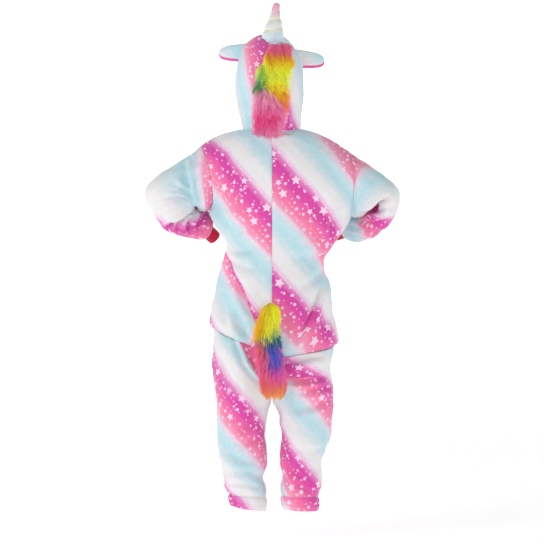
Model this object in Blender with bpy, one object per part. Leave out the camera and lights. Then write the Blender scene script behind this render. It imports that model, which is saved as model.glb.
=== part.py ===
"""Unicorn onesie for a child of about 1.2 m, standing with the hands on the hips, the hood up.

Metres, +Z up. The wearer faces -Y, so the back is at +Y and the wearer's left is at +X.
The origin is at the base of the neck, between the shoulders, where the garment is carried.
Each cloth piece is a sheet made from rows of smooth curves and given its wall inwards.
"""
import math

import bmesh
import bpy
from mathutils import Matrix, Vector

for thing in list(bpy.data.objects):
    bpy.data.objects.remove(thing, do_unlink=True)

WALL = 0.0025            # flannel fleece
SEAM_GAP = 0.0003        # between two pieces at a seam
HALF_GAP = SEAM_GAP / 2
LEFT, RIGHT = 1, -1
BACK, FRONT = 1, -1
SIDE_NAME = {LEFT: "left", RIGHT: "right"}
FACE_NAME = {BACK: "back", FRONT: "front"}

PANEL_CELLS = 8          # across a body panel
LEG_CELLS = 4            # in each of the two curves across a leg panel
TAIL_CELLS = 14
HOOD_CELLS = (6, 4)      # centre seam to side, side to face edge

# neckline: half width, back and front reach, height at the side and at the front
NECK = dict(half=0.073, back=0.060, front=-0.0745, side_z=0.010, front_z=-0.0245)
ZIP_HALF = 0.006         # from the centre to the edge of a front panel

# armhole ring: top and bottom of the seam, reach to back and front, hollow at mid height
ARMHOLE = {
    LEFT: dict(top=(0.1775, -0.0310), bottom=(0.1500, -0.1900), reach=0.068, hollow=0.012),
    RIGHT: dict(top=(0.1975, -0.0500), bottom=(0.1970, -0.2090), reach=0.068, hollow=-0.006),
}

# rows of a body panel above the underarm: where each starts on the neckline (degrees from
# the centre back) or down the centre seam, where it ends on the armhole (degrees from the
# top), and how far it leans from along the arm to along the side
YOKE_COLUMNS = ("neck", "drop", "armhole", "lean")
YOKE = (
    (90, 0.000, 0, 0),
    (60, 0.000, 28, 4),
    (30, 0.000, 54, 8),
    (0, 0.000, 78, 14),
    (0, 0.050, 102, 24),
    (0, 0.102, 126, 42),
    (0, 0.152, 152, 66),
)

# rows of a body panel from the underarm to the seat seam
BODY_COLUMNS = ("z_in", "z_out", "x_out", "back", "front")
BODY = {
    LEFT: (
        (-0.1950, -0.1900, 0.1500, 0.103, 0.098),
        (-0.2150, -0.2125, 0.1505, 0.102, 0.099),
        (-0.2450, -0.2450, 0.1345, 0.099, 0.100),
        (-0.2800, -0.2780, 0.1150, 0.095, 0.101),
        (-0.3120, -0.3080, 0.1180, 0.093, 0.102),
        (-0.3450, -0.3380, 0.1290, 0.094, 0.104),
        (-0.3850, -0.3750, 0.1390, 0.098, 0.106),
        (-0.4250, -0.4100, 0.1450, 0.104, 0.107),
        (-0.4700, -0.4450, 0.1510, 0.110, 0.106),
        (-0.5100, -0.4735, 0.1560, 0.111, 0.104),
        (-0.5350, -0.4875, 0.1460, 0.101, 0.097),
    ),
    RIGHT: (
        (-0.1950, -0.2090, 0.1970, 0.103, 0.098),
        (-0.2200, -0.2330, 0.1860, 0.102, 0.099),
        (-0.2500, -0.2600, 0.1690, 0.099, 0.100),
        (-0.2820, -0.2870, 0.1500, 0.095, 0.101),
        (-0.3140, -0.3130, 0.1335, 0.093, 0.102),
        (-0.3480, -0.3420, 0.1310, 0.094, 0.104),
        (-0.3880, -0.3750, 0.1450, 0.098, 0.106),
        (-0.4300, -0.4150, 0.1500, 0.104, 0.107),
        (-0.4800, -0.4600, 0.1555, 0.110, 0.106),
        (-0.5200, -0.5030, 0.1640, 0.113, 0.104),
        (-0.5430, -0.5200, 0.1665, 0.110, 0.102),
        (-0.5560, -0.5325, 0.1560, 0.101, 0.097),
    ),
}
CENTRE_SEAM = {          # reach of the centre seam above the underarm, by its drop
    BACK: ((0.000, 0.060), (0.050, 0.086), (0.102, 0.099), (0.152, 0.104)),
    FRONT: ((0.000, 0.0745), (0.050, 0.088), (0.102, 0.095), (0.152, 0.098)),
}

# rows of a leg panel, from the seat seam to the ankle band: down the crotch curve and then
# the inseam on the inside, down the outseam on the outside
LEG_COLUMNS = ("z_in", "z_out", "x_in", "x_out", "y_in", "turn", "dip", "depth")
LEG = {
    LEFT: (
        (-0.5350, -0.4875, 0.0000, 0.1460, 0.101, 0, 0.0, 0.1000),
        (-0.5700, -0.5400, 0.0000, 0.1460, 0.101, 0, 0.0, 0.1010),
        (-0.6050, -0.5900, 0.0000, 0.1450, 0.092, 0, 0.1, 0.0970),
        (-0.6380, -0.6320, 0.0000, 0.1425, 0.068, 5, 0.4, 0.0900),
        (-0.6620, -0.6640, 0.0000, 0.1405, 0.036, 20, 0.8, 0.0830),
        (-0.6740, -0.6860, 0.0010, 0.1398, 0.000, 55, 0.8, 0.0780),
        (-0.7050, -0.7080, 0.0125, 0.1380, 0.000, 90, 0.1, 0.0750),
        (-0.7525, -0.7525, 0.0185, 0.1375, 0.000, 90, 0.0, 0.0710),
        (-0.7900, -0.7900, 0.0140, 0.1350, 0.000, 90, 0.0, 0.0680),
        (-0.8275, -0.8275, 0.0125, 0.1275, 0.000, 90, 0.0, 0.0640),
        (-0.8600, -0.8600, 0.0235, 0.1205, 0.000, 90, 0.0, 0.0590),
        (-0.8860, -0.8840, 0.0160, 0.1180, 0.000, 90, 0.0, 0.0570),
        (-0.9080, -0.9000, 0.0145, 0.1070, 0.000, 90, 0.0, 0.0480),
    ),
    RIGHT: (
        (-0.5560, -0.5325, 0.0000, 0.1560, 0.101, 0, 0.0, 0.1000),
        (-0.5800, -0.5640, 0.0000, 0.1500, 0.100, 0, 0.0, 0.1000),
        (-0.6080, -0.6000, 0.0000, 0.1475, 0.091, 0, 0.1, 0.0960),
        (-0.6380, -0.6380, 0.0000, 0.1530, 0.068, 5, 0.4, 0.0900),
        (-0.6620, -0.6640, 0.0000, 0.1535, 0.036, 20, 0.8, 0.0830),
        (-0.6740, -0.6860, 0.0010, 0.1525, 0.000, 55, 0.8, 0.0780),
        (-0.7050, -0.7080, 0.0170, 0.1505, 0.000, 90, 0.1, 0.0750),
        (-0.7525, -0.7525, 0.0230, 0.1490, 0.000, 90, 0.0, 0.0710),
        (-0.7850, -0.7800, 0.0210, 0.1380, 0.000, 90, 0.0, 0.0660),
        (-0.8200, -0.8180, 0.0210, 0.1235, 0.000, 90, 0.0, 0.0630),
        (-0.8520, -0.8520, 0.0275, 0.1245, 0.000, 90, 0.0, 0.0600),
        (-0.8820, -0.8840, 0.0210, 0.1235, 0.000, 90, 0.0, 0.0570),
        (-0.9040, -0.9080, 0.0235, 0.1160, 0.000, 90, 0.0, 0.0480),
    ),
}
FRONT_LEG_DEPTH = 0.96   # of the back's depth

# sections of a sleeve after the armhole: the outer edge, the inner edge and the half reach
SLEEVE_COLUMNS = ("x_out", "y_out", "z_out", "x_in", "y_in", "z_in", "reach")
SLEEVE = {
    LEFT: (
        (0.2085, 0.002, -0.0568, 0.1620, 0.002, -0.1875, 0.066),
        (0.2500, 0.006, -0.0840, 0.1740, 0.006, -0.1850, 0.063),
        (0.2860, 0.010, -0.1055, 0.1840, 0.008, -0.1830, 0.060),
        (0.3110, 0.012, -0.1320, 0.1900, 0.008, -0.1825, 0.058),
        (0.3165, 0.010, -0.1560, 0.1925, 0.004, -0.1850, 0.056),
        (0.3060, 0.004, -0.1840, 0.1920, -0.003, -0.1890, 0.054),
        (0.2900, -0.005, -0.2120, 0.1860, -0.011, -0.1915, 0.052),
        (0.2700, -0.016, -0.2370, 0.1790, -0.020, -0.1945, 0.050),
        (0.2400, -0.028, -0.2500, 0.1700, -0.029, -0.1985, 0.046),
        (0.2110, -0.040, -0.2600, 0.1610, -0.037, -0.2045, 0.041),
        (0.1880, -0.048, -0.2650, 0.1560, -0.044, -0.2130, 0.033),
        (0.1735, -0.053, -0.2610, 0.1550, -0.051, -0.2250, 0.023),
    ),
    RIGHT: (
        (0.2340, 0.004, -0.0755, 0.2140, 0.004, -0.2000, 0.066),
        (0.2680, 0.010, -0.0970, 0.2320, 0.006, -0.1900, 0.062),
        (0.2980, 0.016, -0.1210, 0.2480, 0.006, -0.1810, 0.058),
        (0.3150, 0.018, -0.1480, 0.2580, 0.002, -0.1760, 0.055),
        (0.3170, 0.010, -0.1730, 0.2600, -0.008, -0.1760, 0.053),
        (0.3120, -0.004, -0.1970, 0.2560, -0.022, -0.1780, 0.052),
        (0.3020, -0.022, -0.2180, 0.2480, -0.038, -0.1820, 0.050),
        (0.2840, -0.042, -0.2370, 0.2370, -0.054, -0.1870, 0.047),
        (0.2620, -0.062, -0.2540, 0.2240, -0.070, -0.1940, 0.043),
        (0.2340, -0.082, -0.2660, 0.2100, -0.084, -0.2030, 0.038),
        (0.2080, -0.098, -0.2680, 0.1960, -0.095, -0.2140, 0.030),
        (0.1880, -0.107, -0.2620, 0.1840, -0.103, -0.2230, 0.021),
    ),
}
WRIST_CUFF = {           # end of the rib band: outer edge, inner edge, half reach
    LEFT: (0.1585, -0.068, -0.2735, 0.1330, -0.066, -0.2480, 0.019),
    RIGHT: (0.1660, -0.125, -0.2680, 0.1620, -0.121, -0.2330, 0.018),
}
ANKLE_CUFF = {           # foot of the band: height inside and outside, its edges, half reach
    LEFT: dict(z_in=-0.9440, z_out=-0.9300, x_in=0.0150, x_out=0.1050, reach=0.044),
    RIGHT: dict(z_in=-0.9390, z_out=-0.9430, x_in=0.0265, x_out=0.1160, reach=0.044),
}
ANKLE_FULLNESS = 0.05    # how much wider the band is at mid height

# rows of a hood half: centre seam, widest point and face edge, from the neck to the brow
HOOD_COLUMNS = ("y_in", "z_in", "x_side", "y_side", "z_side", "x_edge", "y_edge", "z_edge")
HOOD = (
    (0.0600, 0.0000, 0.0730, -0.007, 0.0100, 0.0100, -0.0748, -0.0240),
    (0.0740, 0.0300, 0.0765, -0.003, 0.0330, 0.0400, -0.0800, 0.0040),
    (0.0920, 0.0620, 0.0815, 0.000, 0.0620, 0.0600, -0.0775, 0.0360),
    (0.1040, 0.0980, 0.0855, 0.002, 0.0960, 0.0700, -0.0730, 0.0740),
    (0.1070, 0.1350, 0.0865, 0.002, 0.1290, 0.0715, -0.0700, 0.1110),
    (0.0980, 0.1720, 0.0830, 0.000, 0.1600, 0.0660, -0.0690, 0.1430),
    (0.0760, 0.2080, 0.0750, -0.006, 0.1890, 0.0560, -0.0690, 0.1680),
    (0.0450, 0.2345, 0.0610, -0.014, 0.2150, 0.0450, -0.0700, 0.1860),
    (0.0050, 0.2480, 0.0450, -0.028, 0.2300, 0.0340, -0.0715, 0.1980),
    (-0.0360, 0.2370, 0.0290, -0.050, 0.2240, 0.0250, -0.0730, 0.2050),
    (-0.0740, 0.2100, 0.0090, -0.0740, 0.2090, 0.0170, -0.0738, 0.2070),
)
HOOD_SHIFT = 0.006       # the hood sits a little to the wearer's left
HOOD_SHIFT_RISE = 0.080

# the deepest folds: where each starts and ends across and up, its width and its depth
FOLD_COLUMNS = ("face", "x0", "z0", "x1", "z1", "width", "depth")
FOLDS = (
    (BACK, -0.0735, -0.5050, -0.1285, -0.3800, 0.012, -0.009),
    (BACK, -0.1000, -0.5050, -0.1450, -0.4300, 0.012, 0.006),
    (BACK, 0.0850, -0.3675, 0.0440, -0.4560, 0.013, -0.007),
    (BACK, 0.0900, -0.4400, 0.0500, -0.5050, 0.012, -0.007),
    (BACK, 0.0890, -0.5300, 0.0275, -0.6250, 0.012, -0.009),
    (BACK, -0.0425, -0.6070, -0.1170, -0.6070, 0.010, -0.008),
    (BACK, 0.1200, -0.2700, 0.0500, -0.2300, 0.014, -0.006),
    (BACK, -0.1300, -0.3000, -0.0600, -0.2500, 0.014, -0.005),
    (BACK, -0.0325, -0.8145, -0.0920, -0.8600, 0.010, -0.005),
    (BACK, 0.0250, -0.8575, 0.0900, -0.8400, 0.010, -0.005),
    (FRONT, 0.0800, -0.4700, 0.1250, -0.3700, 0.013, -0.007),
    (FRONT, -0.0700, -0.4800, -0.1200, -0.3600, 0.013, -0.008),
    (FRONT, 0.0600, -0.6100, 0.1100, -0.5600, 0.012, -0.007),
    (FRONT, -0.0500, -0.6200, -0.1150, -0.5900, 0.012, -0.008),
    (FRONT, 0.0400, -0.8500, 0.1000, -0.8300, 0.010, -0.005),
    (FRONT, -0.0400, -0.8300, -0.1000, -0.8500, 0.010, -0.005),
)

HORN = dict(base=(-0.002, 0.033), tip=(-0.0115, 0.020, 0.323), sides=24, clear=0.0048, dome=0.0008,
            settle=3.0)  # the foot's own shape fades over a third of the height
HORN_ROWS = ((0.0, 0.0265), (0.18, 0.0240), (0.37, 0.0200), (0.50, 0.0158), (0.62, 0.0125),
             (0.76, 0.0104), (0.88, 0.0090), (1.0, 0.0062))
EAR = {                  # upper and lower end of the root, then the tip
    LEFT: dict(upper=(0.0660, 0.2235), lower=(0.0895, 0.1845), tip=(0.1320, 0.2020)),
    RIGHT: dict(upper=(-0.0565, 0.2160), lower=(-0.0830, 0.1690), tip=(-0.1305, 0.1805)),
}
EAR_ROWS = ((0.00, 0.90), (0.18, 1.00), (0.40, 0.92), (0.62, 0.78), (0.82, 0.60), (0.98, 0.30))
EAR_CELLS = 4
EAR_CUP = 0.30           # depth of the ear's hollow, of its half width
EAR_CURL = 0.005         # how far its middle stands back from a straight line
EAR_Y = -0.006
EAR_LAYER = 0.0056       # from the outer layer's face to the inner layer's

MANE = dict(last_row=6, start=0.15, half_columns=1.45, reach=0.016, clear=0.0010)
TAIL_COLUMNS = ("x", "y", "z", "half", "reach")
TAIL = (
    (0.0010, 0.1185, -0.4130, 0.0090, 0.0060),
    (0.0080, 0.1245, -0.4260, 0.0210, 0.0120),
    (0.0120, 0.1290, -0.4550, 0.0260, 0.0150),
    (0.0100, 0.1330, -0.5000, 0.0290, 0.0170),
    (0.0030, 0.1345, -0.5450, 0.0300, 0.0180),
    (-0.0010, 0.1330, -0.5900, 0.0290, 0.0170),
    (-0.0040, 0.1290, -0.6300, 0.0260, 0.0150),
    (-0.0060, 0.1250, -0.6620, 0.0170, 0.0110),
    (-0.0068, 0.1240, -0.6780, 0.0060, 0.0050),
)

ZIP = dict(tape=0.015, slant=0.0012, tape_wall=0.0012, teeth_half=0.0008, behind=0.0006, last_body_row=8)
SLIDER = dict(width=0.009, height=0.012, wall=0.0015, clear=0.0006, strap=0.002, strap_wall=0.0009,
              rise=0.0040, foot=0.0040, sink=0.0004, z=-0.046)
PULL = dict(width=0.007, wall=0.0011, arm=0.0012, window=0.0075, tab=0.014, bar=0.0011, sink=0.0010,
            bar_sink=0.0001)     # how far the arms run into the tab and stop short in the bar


def named(columns, rows):
    return [dict(zip(columns, row)) for row in rows]


def bend(start, leave, end, arrive, cells):
    """Points of a smooth curve that leaves start along one way and reaches end along another."""
    leave, arrive = leave.normalized(), arrive.normalized()
    span = end - start
    turn = max(leave.angle(arrive, 0.0), 0.001)
    full = 4 * math.tan(turn / 4) / math.sin(turn)
    pull_out = leave * abs(span.dot(leave)) * full
    pull_in = arrive * abs(span.dot(arrive)) * full
    points = []
    for step in range(cells + 1):
        t = step / cells
        points.append(start * (2 * t**3 - 3 * t**2 + 1) + pull_out * (t**3 - 2 * t**2 + t)
                      + end * (3 * t**2 - 2 * t**3) + pull_in * (t**3 - t**2))
    return points


def material(name, colour, roughness, metallic=0.0):
    made = bpy.data.materials.new(name)
    made.use_nodes = True
    shader = made.node_tree.nodes["Principled BSDF"]
    shader.inputs["Base Color"].default_value = (*colour, 1.0)
    shader.inputs["Roughness"].default_value = roughness
    shader.inputs["Metallic"].default_value = metallic
    return made


COLOURS = {              # colour, roughness, metallic
    "print_pink": ((0.86, 0.20, 0.55), 0.85, 0.0),
    "print_blue": ((0.56, 0.78, 0.86), 0.85, 0.0),
    "rib_red": ((0.58, 0.01, 0.04), 0.85, 0.0),
    "ear_pink": ((0.90, 0.32, 0.55), 0.80, 0.0),
    "horn_satin": ((0.95, 0.86, 0.84), 0.45, 0.0),
    "rainbow_fur": ((0.95, 0.45, 0.15), 0.90, 0.0),
    "zip_tape": ((0.90, 0.90, 0.92), 0.70, 0.0),
    "zip_metal": ((0.75, 0.75, 0.78), 0.30, 1.0),
}


def finish_of(name):
    """Each piece has a material of its own, in the colour of its cloth."""
    for words, colour in (("wrist_cuff", "rib_red"), ("inner", "ear_pink"), ("horn", "horn_satin"),
                          ("mane", "rainbow_fur"), ("tail", "rainbow_fur"), ("tape", "zip_tape"),
                          ("zip_", "zip_metal"), ("right", "print_pink")):
        if words in name:
            return COLOURS[colour]
    return COLOURS["print_blue"]


def new_object(name, mesh_data):
    piece = bpy.data.objects.new(name, mesh_data)
    bpy.context.scene.collection.objects.link(piece)
    piece.data.materials.append(material(name + "_finish", *finish_of(name)))
    return piece


def fold_depth(point):
    """How far the folds move a point of the body or a leg out, or in where it is less than 0."""
    face = BACK if point.y > 0 else FRONT
    moved = 0.0
    for fold in named(FOLD_COLUMNS, FOLDS):
        if fold["face"] != face:
            continue
        start, end = Vector((fold["x0"], fold["z0"])), Vector((fold["x1"], fold["z1"]))
        here, along = Vector((point.x, point.z)), end - start
        share = min(max((here - start).dot(along) / along.length_squared, 0.0), 1.0)
        away = (here - start - along * share).length / fold["width"]
        taper = math.sin(math.pi * (0.12 + 0.76 * share))
        moved += fold["depth"] * taper * math.exp(-away * away)
    return moved


def sheet(name, rows, flip, closed=False, folded=False, wall=WALL, outwards=False):
    """A piece of cloth from rows of points, with its wall on the inside."""
    shape = bmesh.new()
    grid = [[shape.verts.new(point) for point in row] for row in rows]
    width = len(grid[0])
    for upper, lower in zip(grid, grid[1:]):
        for column in range(width if closed else width - 1):
            after = (column + 1) % width
            corners = [upper[column], upper[after], lower[after], lower[column]]
            shape.faces.new(corners[::-1] if flip else corners)
    shape.normal_update()
    if folded:
        moves = [(vert, vert.normal * fold_depth(vert.co)) for row in grid[1:-1]
                 for vert in (row if closed else row[1:-1])]
        for vert, move in moves:
            vert.co += move
        shape.normal_update()
    depth = wall if outwards else -wall
    lining = {vert: shape.verts.new(vert.co + seam_normal(vert, closed) * depth)
              for row in grid for vert in row}
    for face in list(shape.faces):
        shape.faces.new([lining[vert] for vert in face.verts][::-1])
    for edge in [edge for edge in shape.edges if edge.is_boundary and edge.verts[0] in lining
                 and edge.verts[1] in lining]:
        a, b = edge.verts
        loop = edge.link_loops[0]
        if loop.vert == a:
            a, b = b, a
        shape.faces.new([a, b, lining[b], lining[a]])
    bmesh.ops.recalc_face_normals(shape, faces=shape.faces)
    mesh_data = bpy.data.meshes.new(name)
    shape.to_mesh(mesh_data)
    shape.free()
    piece = new_object(name, mesh_data)
    piece.data.shade_smooth()
    return piece


def seam_normal(vert, closed):
    """The way through the cloth, kept in the plane of the seam where the piece ends on one."""
    normal = vert.normal.copy()
    if not closed and vert.is_boundary:
        if abs(vert.co.x - hood_shift(vert.co.z)) < 2 * HALF_GAP:
            normal.x = 0
        if abs(vert.co.y) < 2 * HALF_GAP:
            normal.y = 0
    return normal.normalized()


def neckline(side, face, degrees):
    """A point of the neckline, by its angle from the centre back or the centre front."""
    angle = math.radians(degrees)
    reach = NECK["back"] if face == BACK else NECK["front"]
    centre_z = 0.0 if face == BACK else NECK["front_z"]
    edge = HALF_GAP if face == BACK else ZIP_HALF
    return Vector((side * (edge + (NECK["half"] - edge) * math.sin(angle)),
                   reach * math.cos(angle),
                   centre_z + (NECK["side_z"] - centre_z) * math.sin(angle) ** 2))


def armhole(side, face, degrees):
    ring = ARMHOLE[side]
    angle = math.radians(degrees)
    top, bottom = Vector(ring["top"]), Vector(ring["bottom"])
    flat = (top + bottom) / 2 + (top - bottom) / 2 * math.cos(angle)
    back = ring["reach"] * math.sin(angle)
    return Vector((side * (flat.x - ring["hollow"] * math.sin(angle) ** 2), face * back, flat.y))


def centre_seam(face, drop):
    """Reach of the centre seam at a drop below the neckline, read between its rows."""
    rows = CENTRE_SEAM[face]
    for (above, reach_above), (below, reach_below) in zip(rows, rows[1:]):
        if drop <= below:
            share = (drop - above) / (below - above)
            return reach_above + (reach_below - reach_above) * share
    return rows[-1][1]


def arm_way(side):
    """The way that the arm leaves the body at the armhole."""
    first = SLEEVE[side][0]
    ring = ARMHOLE[side]
    return Vector((side * (first[0] - ring["top"][0]), 0.0, first[2] - ring["top"][1])).normalized()


def body_rows(side, face):
    edge = HALF_GAP if face == BACK else ZIP_HALF
    across, forward = Vector((side, 0, 0)), Vector((0, -face, 0))
    clear = forward * -HALF_GAP
    rows = []
    for row in named(YOKE_COLUMNS, YOKE):
        if row["drop"]:
            first_z = 0.0 if face == BACK else NECK["front_z"]
            deepest = BODY[side][0][0]
            start_z = first_z + (deepest - first_z) * row["drop"] / abs(deepest)
            start = Vector((side * edge, face * centre_seam(face, row["drop"]), start_z))
        else:
            start = neckline(side, face, row["neck"])
        end = armhole(side, face, row["armhole"])
        lean = math.radians(row["lean"])
        arrive = arm_way(side) * math.cos(lean) + forward * math.sin(lean)
        leave = across if row["drop"] or row["neck"] < 10 else (end - start).normalized() + across
        if row["neck"] == 90:
            start, end = start + clear, end + clear
        rows.append(bend(start, leave, end, arrive, PANEL_CELLS))
    for row in named(BODY_COLUMNS, BODY[side]):
        start = Vector((side * edge, face * row[FACE_NAME[face]], row["z_in"]))
        end = Vector((side * row["x_out"], 0, row["z_out"])) + clear
        rows.append(bend(start, across, end, forward, PANEL_CELLS))
    return rows


def leg_rows(side, face):
    across, forward = Vector((side, 0, 0)), Vector((0, -face, 0))
    clear = forward * -HALF_GAP
    down = Vector((0, 0, -SEAM_GAP))
    rows = []
    for index, row in enumerate(named(LEG_COLUMNS, LEG[side])):
        turn = math.radians(row["turn"])
        depth = row["depth"] * (1 if face == BACK else FRONT_LEG_DEPTH)
        inner_y = row["y_in"] * (1 if face == BACK else FRONT_LEG_DEPTH)
        edge = max(row["x_in"], HALF_GAP)
        start = Vector((side * edge, face * inner_y, row["z_in"])) + clear
        middle_x = side * (edge + row["x_out"]) / 2
        middle = Vector((middle_x, face * depth, (row["z_in"] + row["z_out"]) / 2))
        end = Vector((side * row["x_out"], 0, row["z_out"])) + clear
        leave = Vector((side * math.cos(turn), face * math.sin(turn), -row["dip"]))
        if index == 0:
            rows.append([point + down for point in body_rows(side, face)[-1]])
            continue
        inner = bend(start, leave, middle, across, LEG_CELLS)
        rows.append(inner + bend(middle, across, end, forward, LEG_CELLS)[1:])
    return rows


def ring(outer, inner, reach, along):
    """A section of a tube: from its outer edge, over the back, to its inner edge and round."""
    middle, half = (outer + inner) / 2, (outer - inner) / 2
    back = along.cross(half).normalized()
    if back.y < 0:
        back = -back
    return [middle + half * math.cos(angle) + back * (reach * math.sin(angle))
            for angle in (math.radians(degrees) for degrees in ring_degrees())]


def ring_degrees():
    """Places round a sleeve, the same as the rows of the body end on at the armhole."""
    back = [row["armhole"] for row in named(YOKE_COLUMNS, YOKE)]
    return back + [180] + [360 - degrees for degrees in back[:0:-1]]


def armhole_ring(side):
    """The sleeve's first section, on the armhole seam."""
    return [armhole(side, BACK, degrees) + arm_way(side) * SEAM_GAP for degrees in ring_degrees()]


def sleeve_sections(side):
    """Outer edge, inner edge, reach and the way along the sleeve, for each section."""
    found = [(Vector((side * row[0], row[1], row[2])), Vector((side * row[3], row[4], row[5])), row[6])
             for row in SLEEVE[side] + (WRIST_CUFF[side],)]
    middles = [(outer + inner) / 2 for outer, inner, reach in found]
    ways = [(middles[min(index + 1, len(middles) - 1)] - middles[max(index - 1, 0)]).normalized()
            for index in range(len(middles))]
    return [(*section, way) for section, way in zip(found, ways)]


def sleeve_rows(side):
    sections = sleeve_sections(side)
    return [armhole_ring(side)] + [ring(*section) for section in sections[:-1]]


def wrist_cuff_rows(side):
    last, end = sleeve_sections(side)[-2:]
    step = last[3] * SEAM_GAP
    first = (last[0] + step, last[1] + step, last[2], last[3])
    middle = tuple((a + b) / 2 for a, b in zip(first, end))
    return [ring(*first), ring(*middle), ring(*end)]


def leg_ring(side):
    """Outline of the leg at the ankle seam, all round, from its two panels' last rows."""
    back, front = leg_rows(side, BACK)[-1], leg_rows(side, FRONT)[-1]
    inner, outer = (back[0] + front[0]) / 2, (back[-1] + front[-1]) / 2
    return [inner] + back[1:-1] + [outer] + front[1:-1][::-1]


def ankle_cuff_rows(side):
    foot = ANKLE_CUFF[side]
    top = [point + Vector((0, 0, -SEAM_GAP)) for point in leg_ring(side)]
    low, high = top[0].x, top[len(top) // 2].x
    reach = max(point.y for point in top)
    bottom = []
    for point in top:
        share = (point.x - low) / (high - low)
        bottom.append(Vector((side * (foot["x_in"] + (foot["x_out"] - foot["x_in"]) * share),
                              point.y * foot["reach"] / reach,
                              foot["z_in"] + (foot["z_out"] - foot["z_in"]) * share)))
    middle = [a.lerp(b, 0.5) + Vector((a.x - (low + high) / 2, a.y, 0)) * ANKLE_FULLNESS
              for a, b in zip(top, bottom)]
    return [top, middle, bottom]


def hood_shift(z):
    share = min(max(z / HOOD_SHIFT_RISE, 0.0), 1.0)
    return HOOD_SHIFT * share * share * (3 - 2 * share)


def hood_rows(side):
    across = Vector((side, 0, 0))
    rows = []
    for index, row in enumerate(named(HOOD_COLUMNS, HOOD)):
        start = Vector((side * HALF_GAP, row["y_in"], row["z_in"]))
        middle = Vector((side * row["x_side"], row["y_side"], row["z_side"]))
        end = Vector((side * row["x_edge"], row["y_edge"], row["z_edge"]))
        fall = (end - start)
        ahead = Vector((0, fall.y, fall.z * 0.6)) if index < len(HOOD) - 1 else end - start
        inward = end - middle
        points = bend(start, across, middle, ahead, HOOD_CELLS[0])
        points += bend(middle, ahead, end, inward, HOOD_CELLS[1])[1:]
        if index == 0:
            points = [neckline(side, BACK, 90 * step / HOOD_CELLS[0]) for step in range(HOOD_CELLS[0])]
            points += [neckline(side, FRONT, 90 * (1 - step / (HOOD_CELLS[1] + 0.25)))
                       for step in range(HOOD_CELLS[1] + 1)]
            points = [point + Vector((0, 0, SEAM_GAP)) for point in points]
        rows.append([point + Vector((hood_shift(point.z), 0, 0)) for point in points])
    return rows


def outward_normals(rows):
    """Normals of a grid that is open all round, pointing away from the head."""
    middle = Vector((0, 0, 0.12))
    normals = []
    for i, row in enumerate(rows):
        line = []
        for j, point in enumerate(row):
            across = row[min(j + 1, len(row) - 1)] - row[max(j - 1, 0)]
            along = rows[min(i + 1, len(rows) - 1)][j] - rows[max(i - 1, 0)][j]
            normal = across.cross(along).normalized()
            line.append(normal if normal.dot(point - middle) > 0 else -normal)
        normals.append(line)
    return normals


def make_mane():
    """The fur's reach, on the points of the hood beside its centre seam, moved out."""
    whole, part = divmod(MANE["half_columns"], 1)
    grid = []
    for left, right in zip(hood_rows(LEFT), hood_rows(RIGHT)):
        halves = []
        for row in (left, right):
            reach = [row[column] for column in range(1, int(whole) + 1)]
            halves.append(reach + [row[int(whole)].lerp(row[int(whole) + 1], part)])
        grid.append(halves[1][::-1] + [(left[0] + right[0]) / 2] + halves[0])
    grid[0] = [low.lerp(high, MANE["start"]) for low, high in zip(grid[0], grid[1])]
    normals = outward_normals(grid)
    rows = [[point + normal * MANE["clear"] for point, normal in zip(*pair)]
            for pair in list(zip(grid, normals))[:MANE["last_row"] + 1]]
    sheet("mane", rows, flip=True, wall=MANE["reach"], outwards=True)


def make_tail():
    rows = []
    for section in named(TAIL_COLUMNS, TAIL):
        middle = Vector((section["x"], section["y"], section["z"]))
        rows.append([middle + Vector((section["half"] * math.cos(angle),
                                      section["reach"] * math.sin(angle), 0))
                     for angle in (2 * math.pi * step / TAIL_CELLS for step in range(TAIL_CELLS))])
    shape = bmesh.new()
    grid = [[shape.verts.new(point) for point in row] for row in rows]
    for upper, lower in zip(grid, grid[1:]):
        for column in range(TAIL_CELLS):
            after = (column + 1) % TAIL_CELLS
            shape.faces.new([upper[after], upper[column], lower[column], lower[after]])
    shape.faces.new(grid[0])
    shape.faces.new(grid[-1][::-1])
    bmesh.ops.recalc_face_normals(shape, faces=shape.faces)
    mesh_data = bpy.data.meshes.new("tail")
    shape.to_mesh(mesh_data)
    shape.free()
    new_object("tail", mesh_data)


def hood_height(x, y):
    """Height of the crown of the hood over a place, read from the hood's own facets."""
    highest = 0.0
    for side in (LEFT, RIGHT):
        rows = hood_rows(side)
        for upper, lower in zip(rows, rows[1:]):
            for column in range(len(upper) - 1):
                a, b = upper[column], upper[column + 1]
                c, d = lower[column + 1], lower[column]
                for corners in ((a, b, c), (a, c, d), (a, b, d), (b, c, d)):
                    height = height_in(corners, x, y)
                    if height is not None:
                        highest = max(highest, height)
    return highest


def height_in(corners, x, y):
    a, b, c = corners
    area = (b.x - a.x) * (c.y - a.y) - (c.x - a.x) * (b.y - a.y)
    if abs(area) < 1e-9:
        return None
    s = ((x - a.x) * (c.y - a.y) - (c.x - a.x) * (y - a.y)) / area
    t = ((b.x - a.x) * (y - a.y) - (x - a.x) * (b.y - a.y)) / area
    if s < -0.001 or t < -0.001 or s + t > 1.001:
        return None
    return a.z + s * (b.z - a.z) + t * (c.z - a.z)


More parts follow.
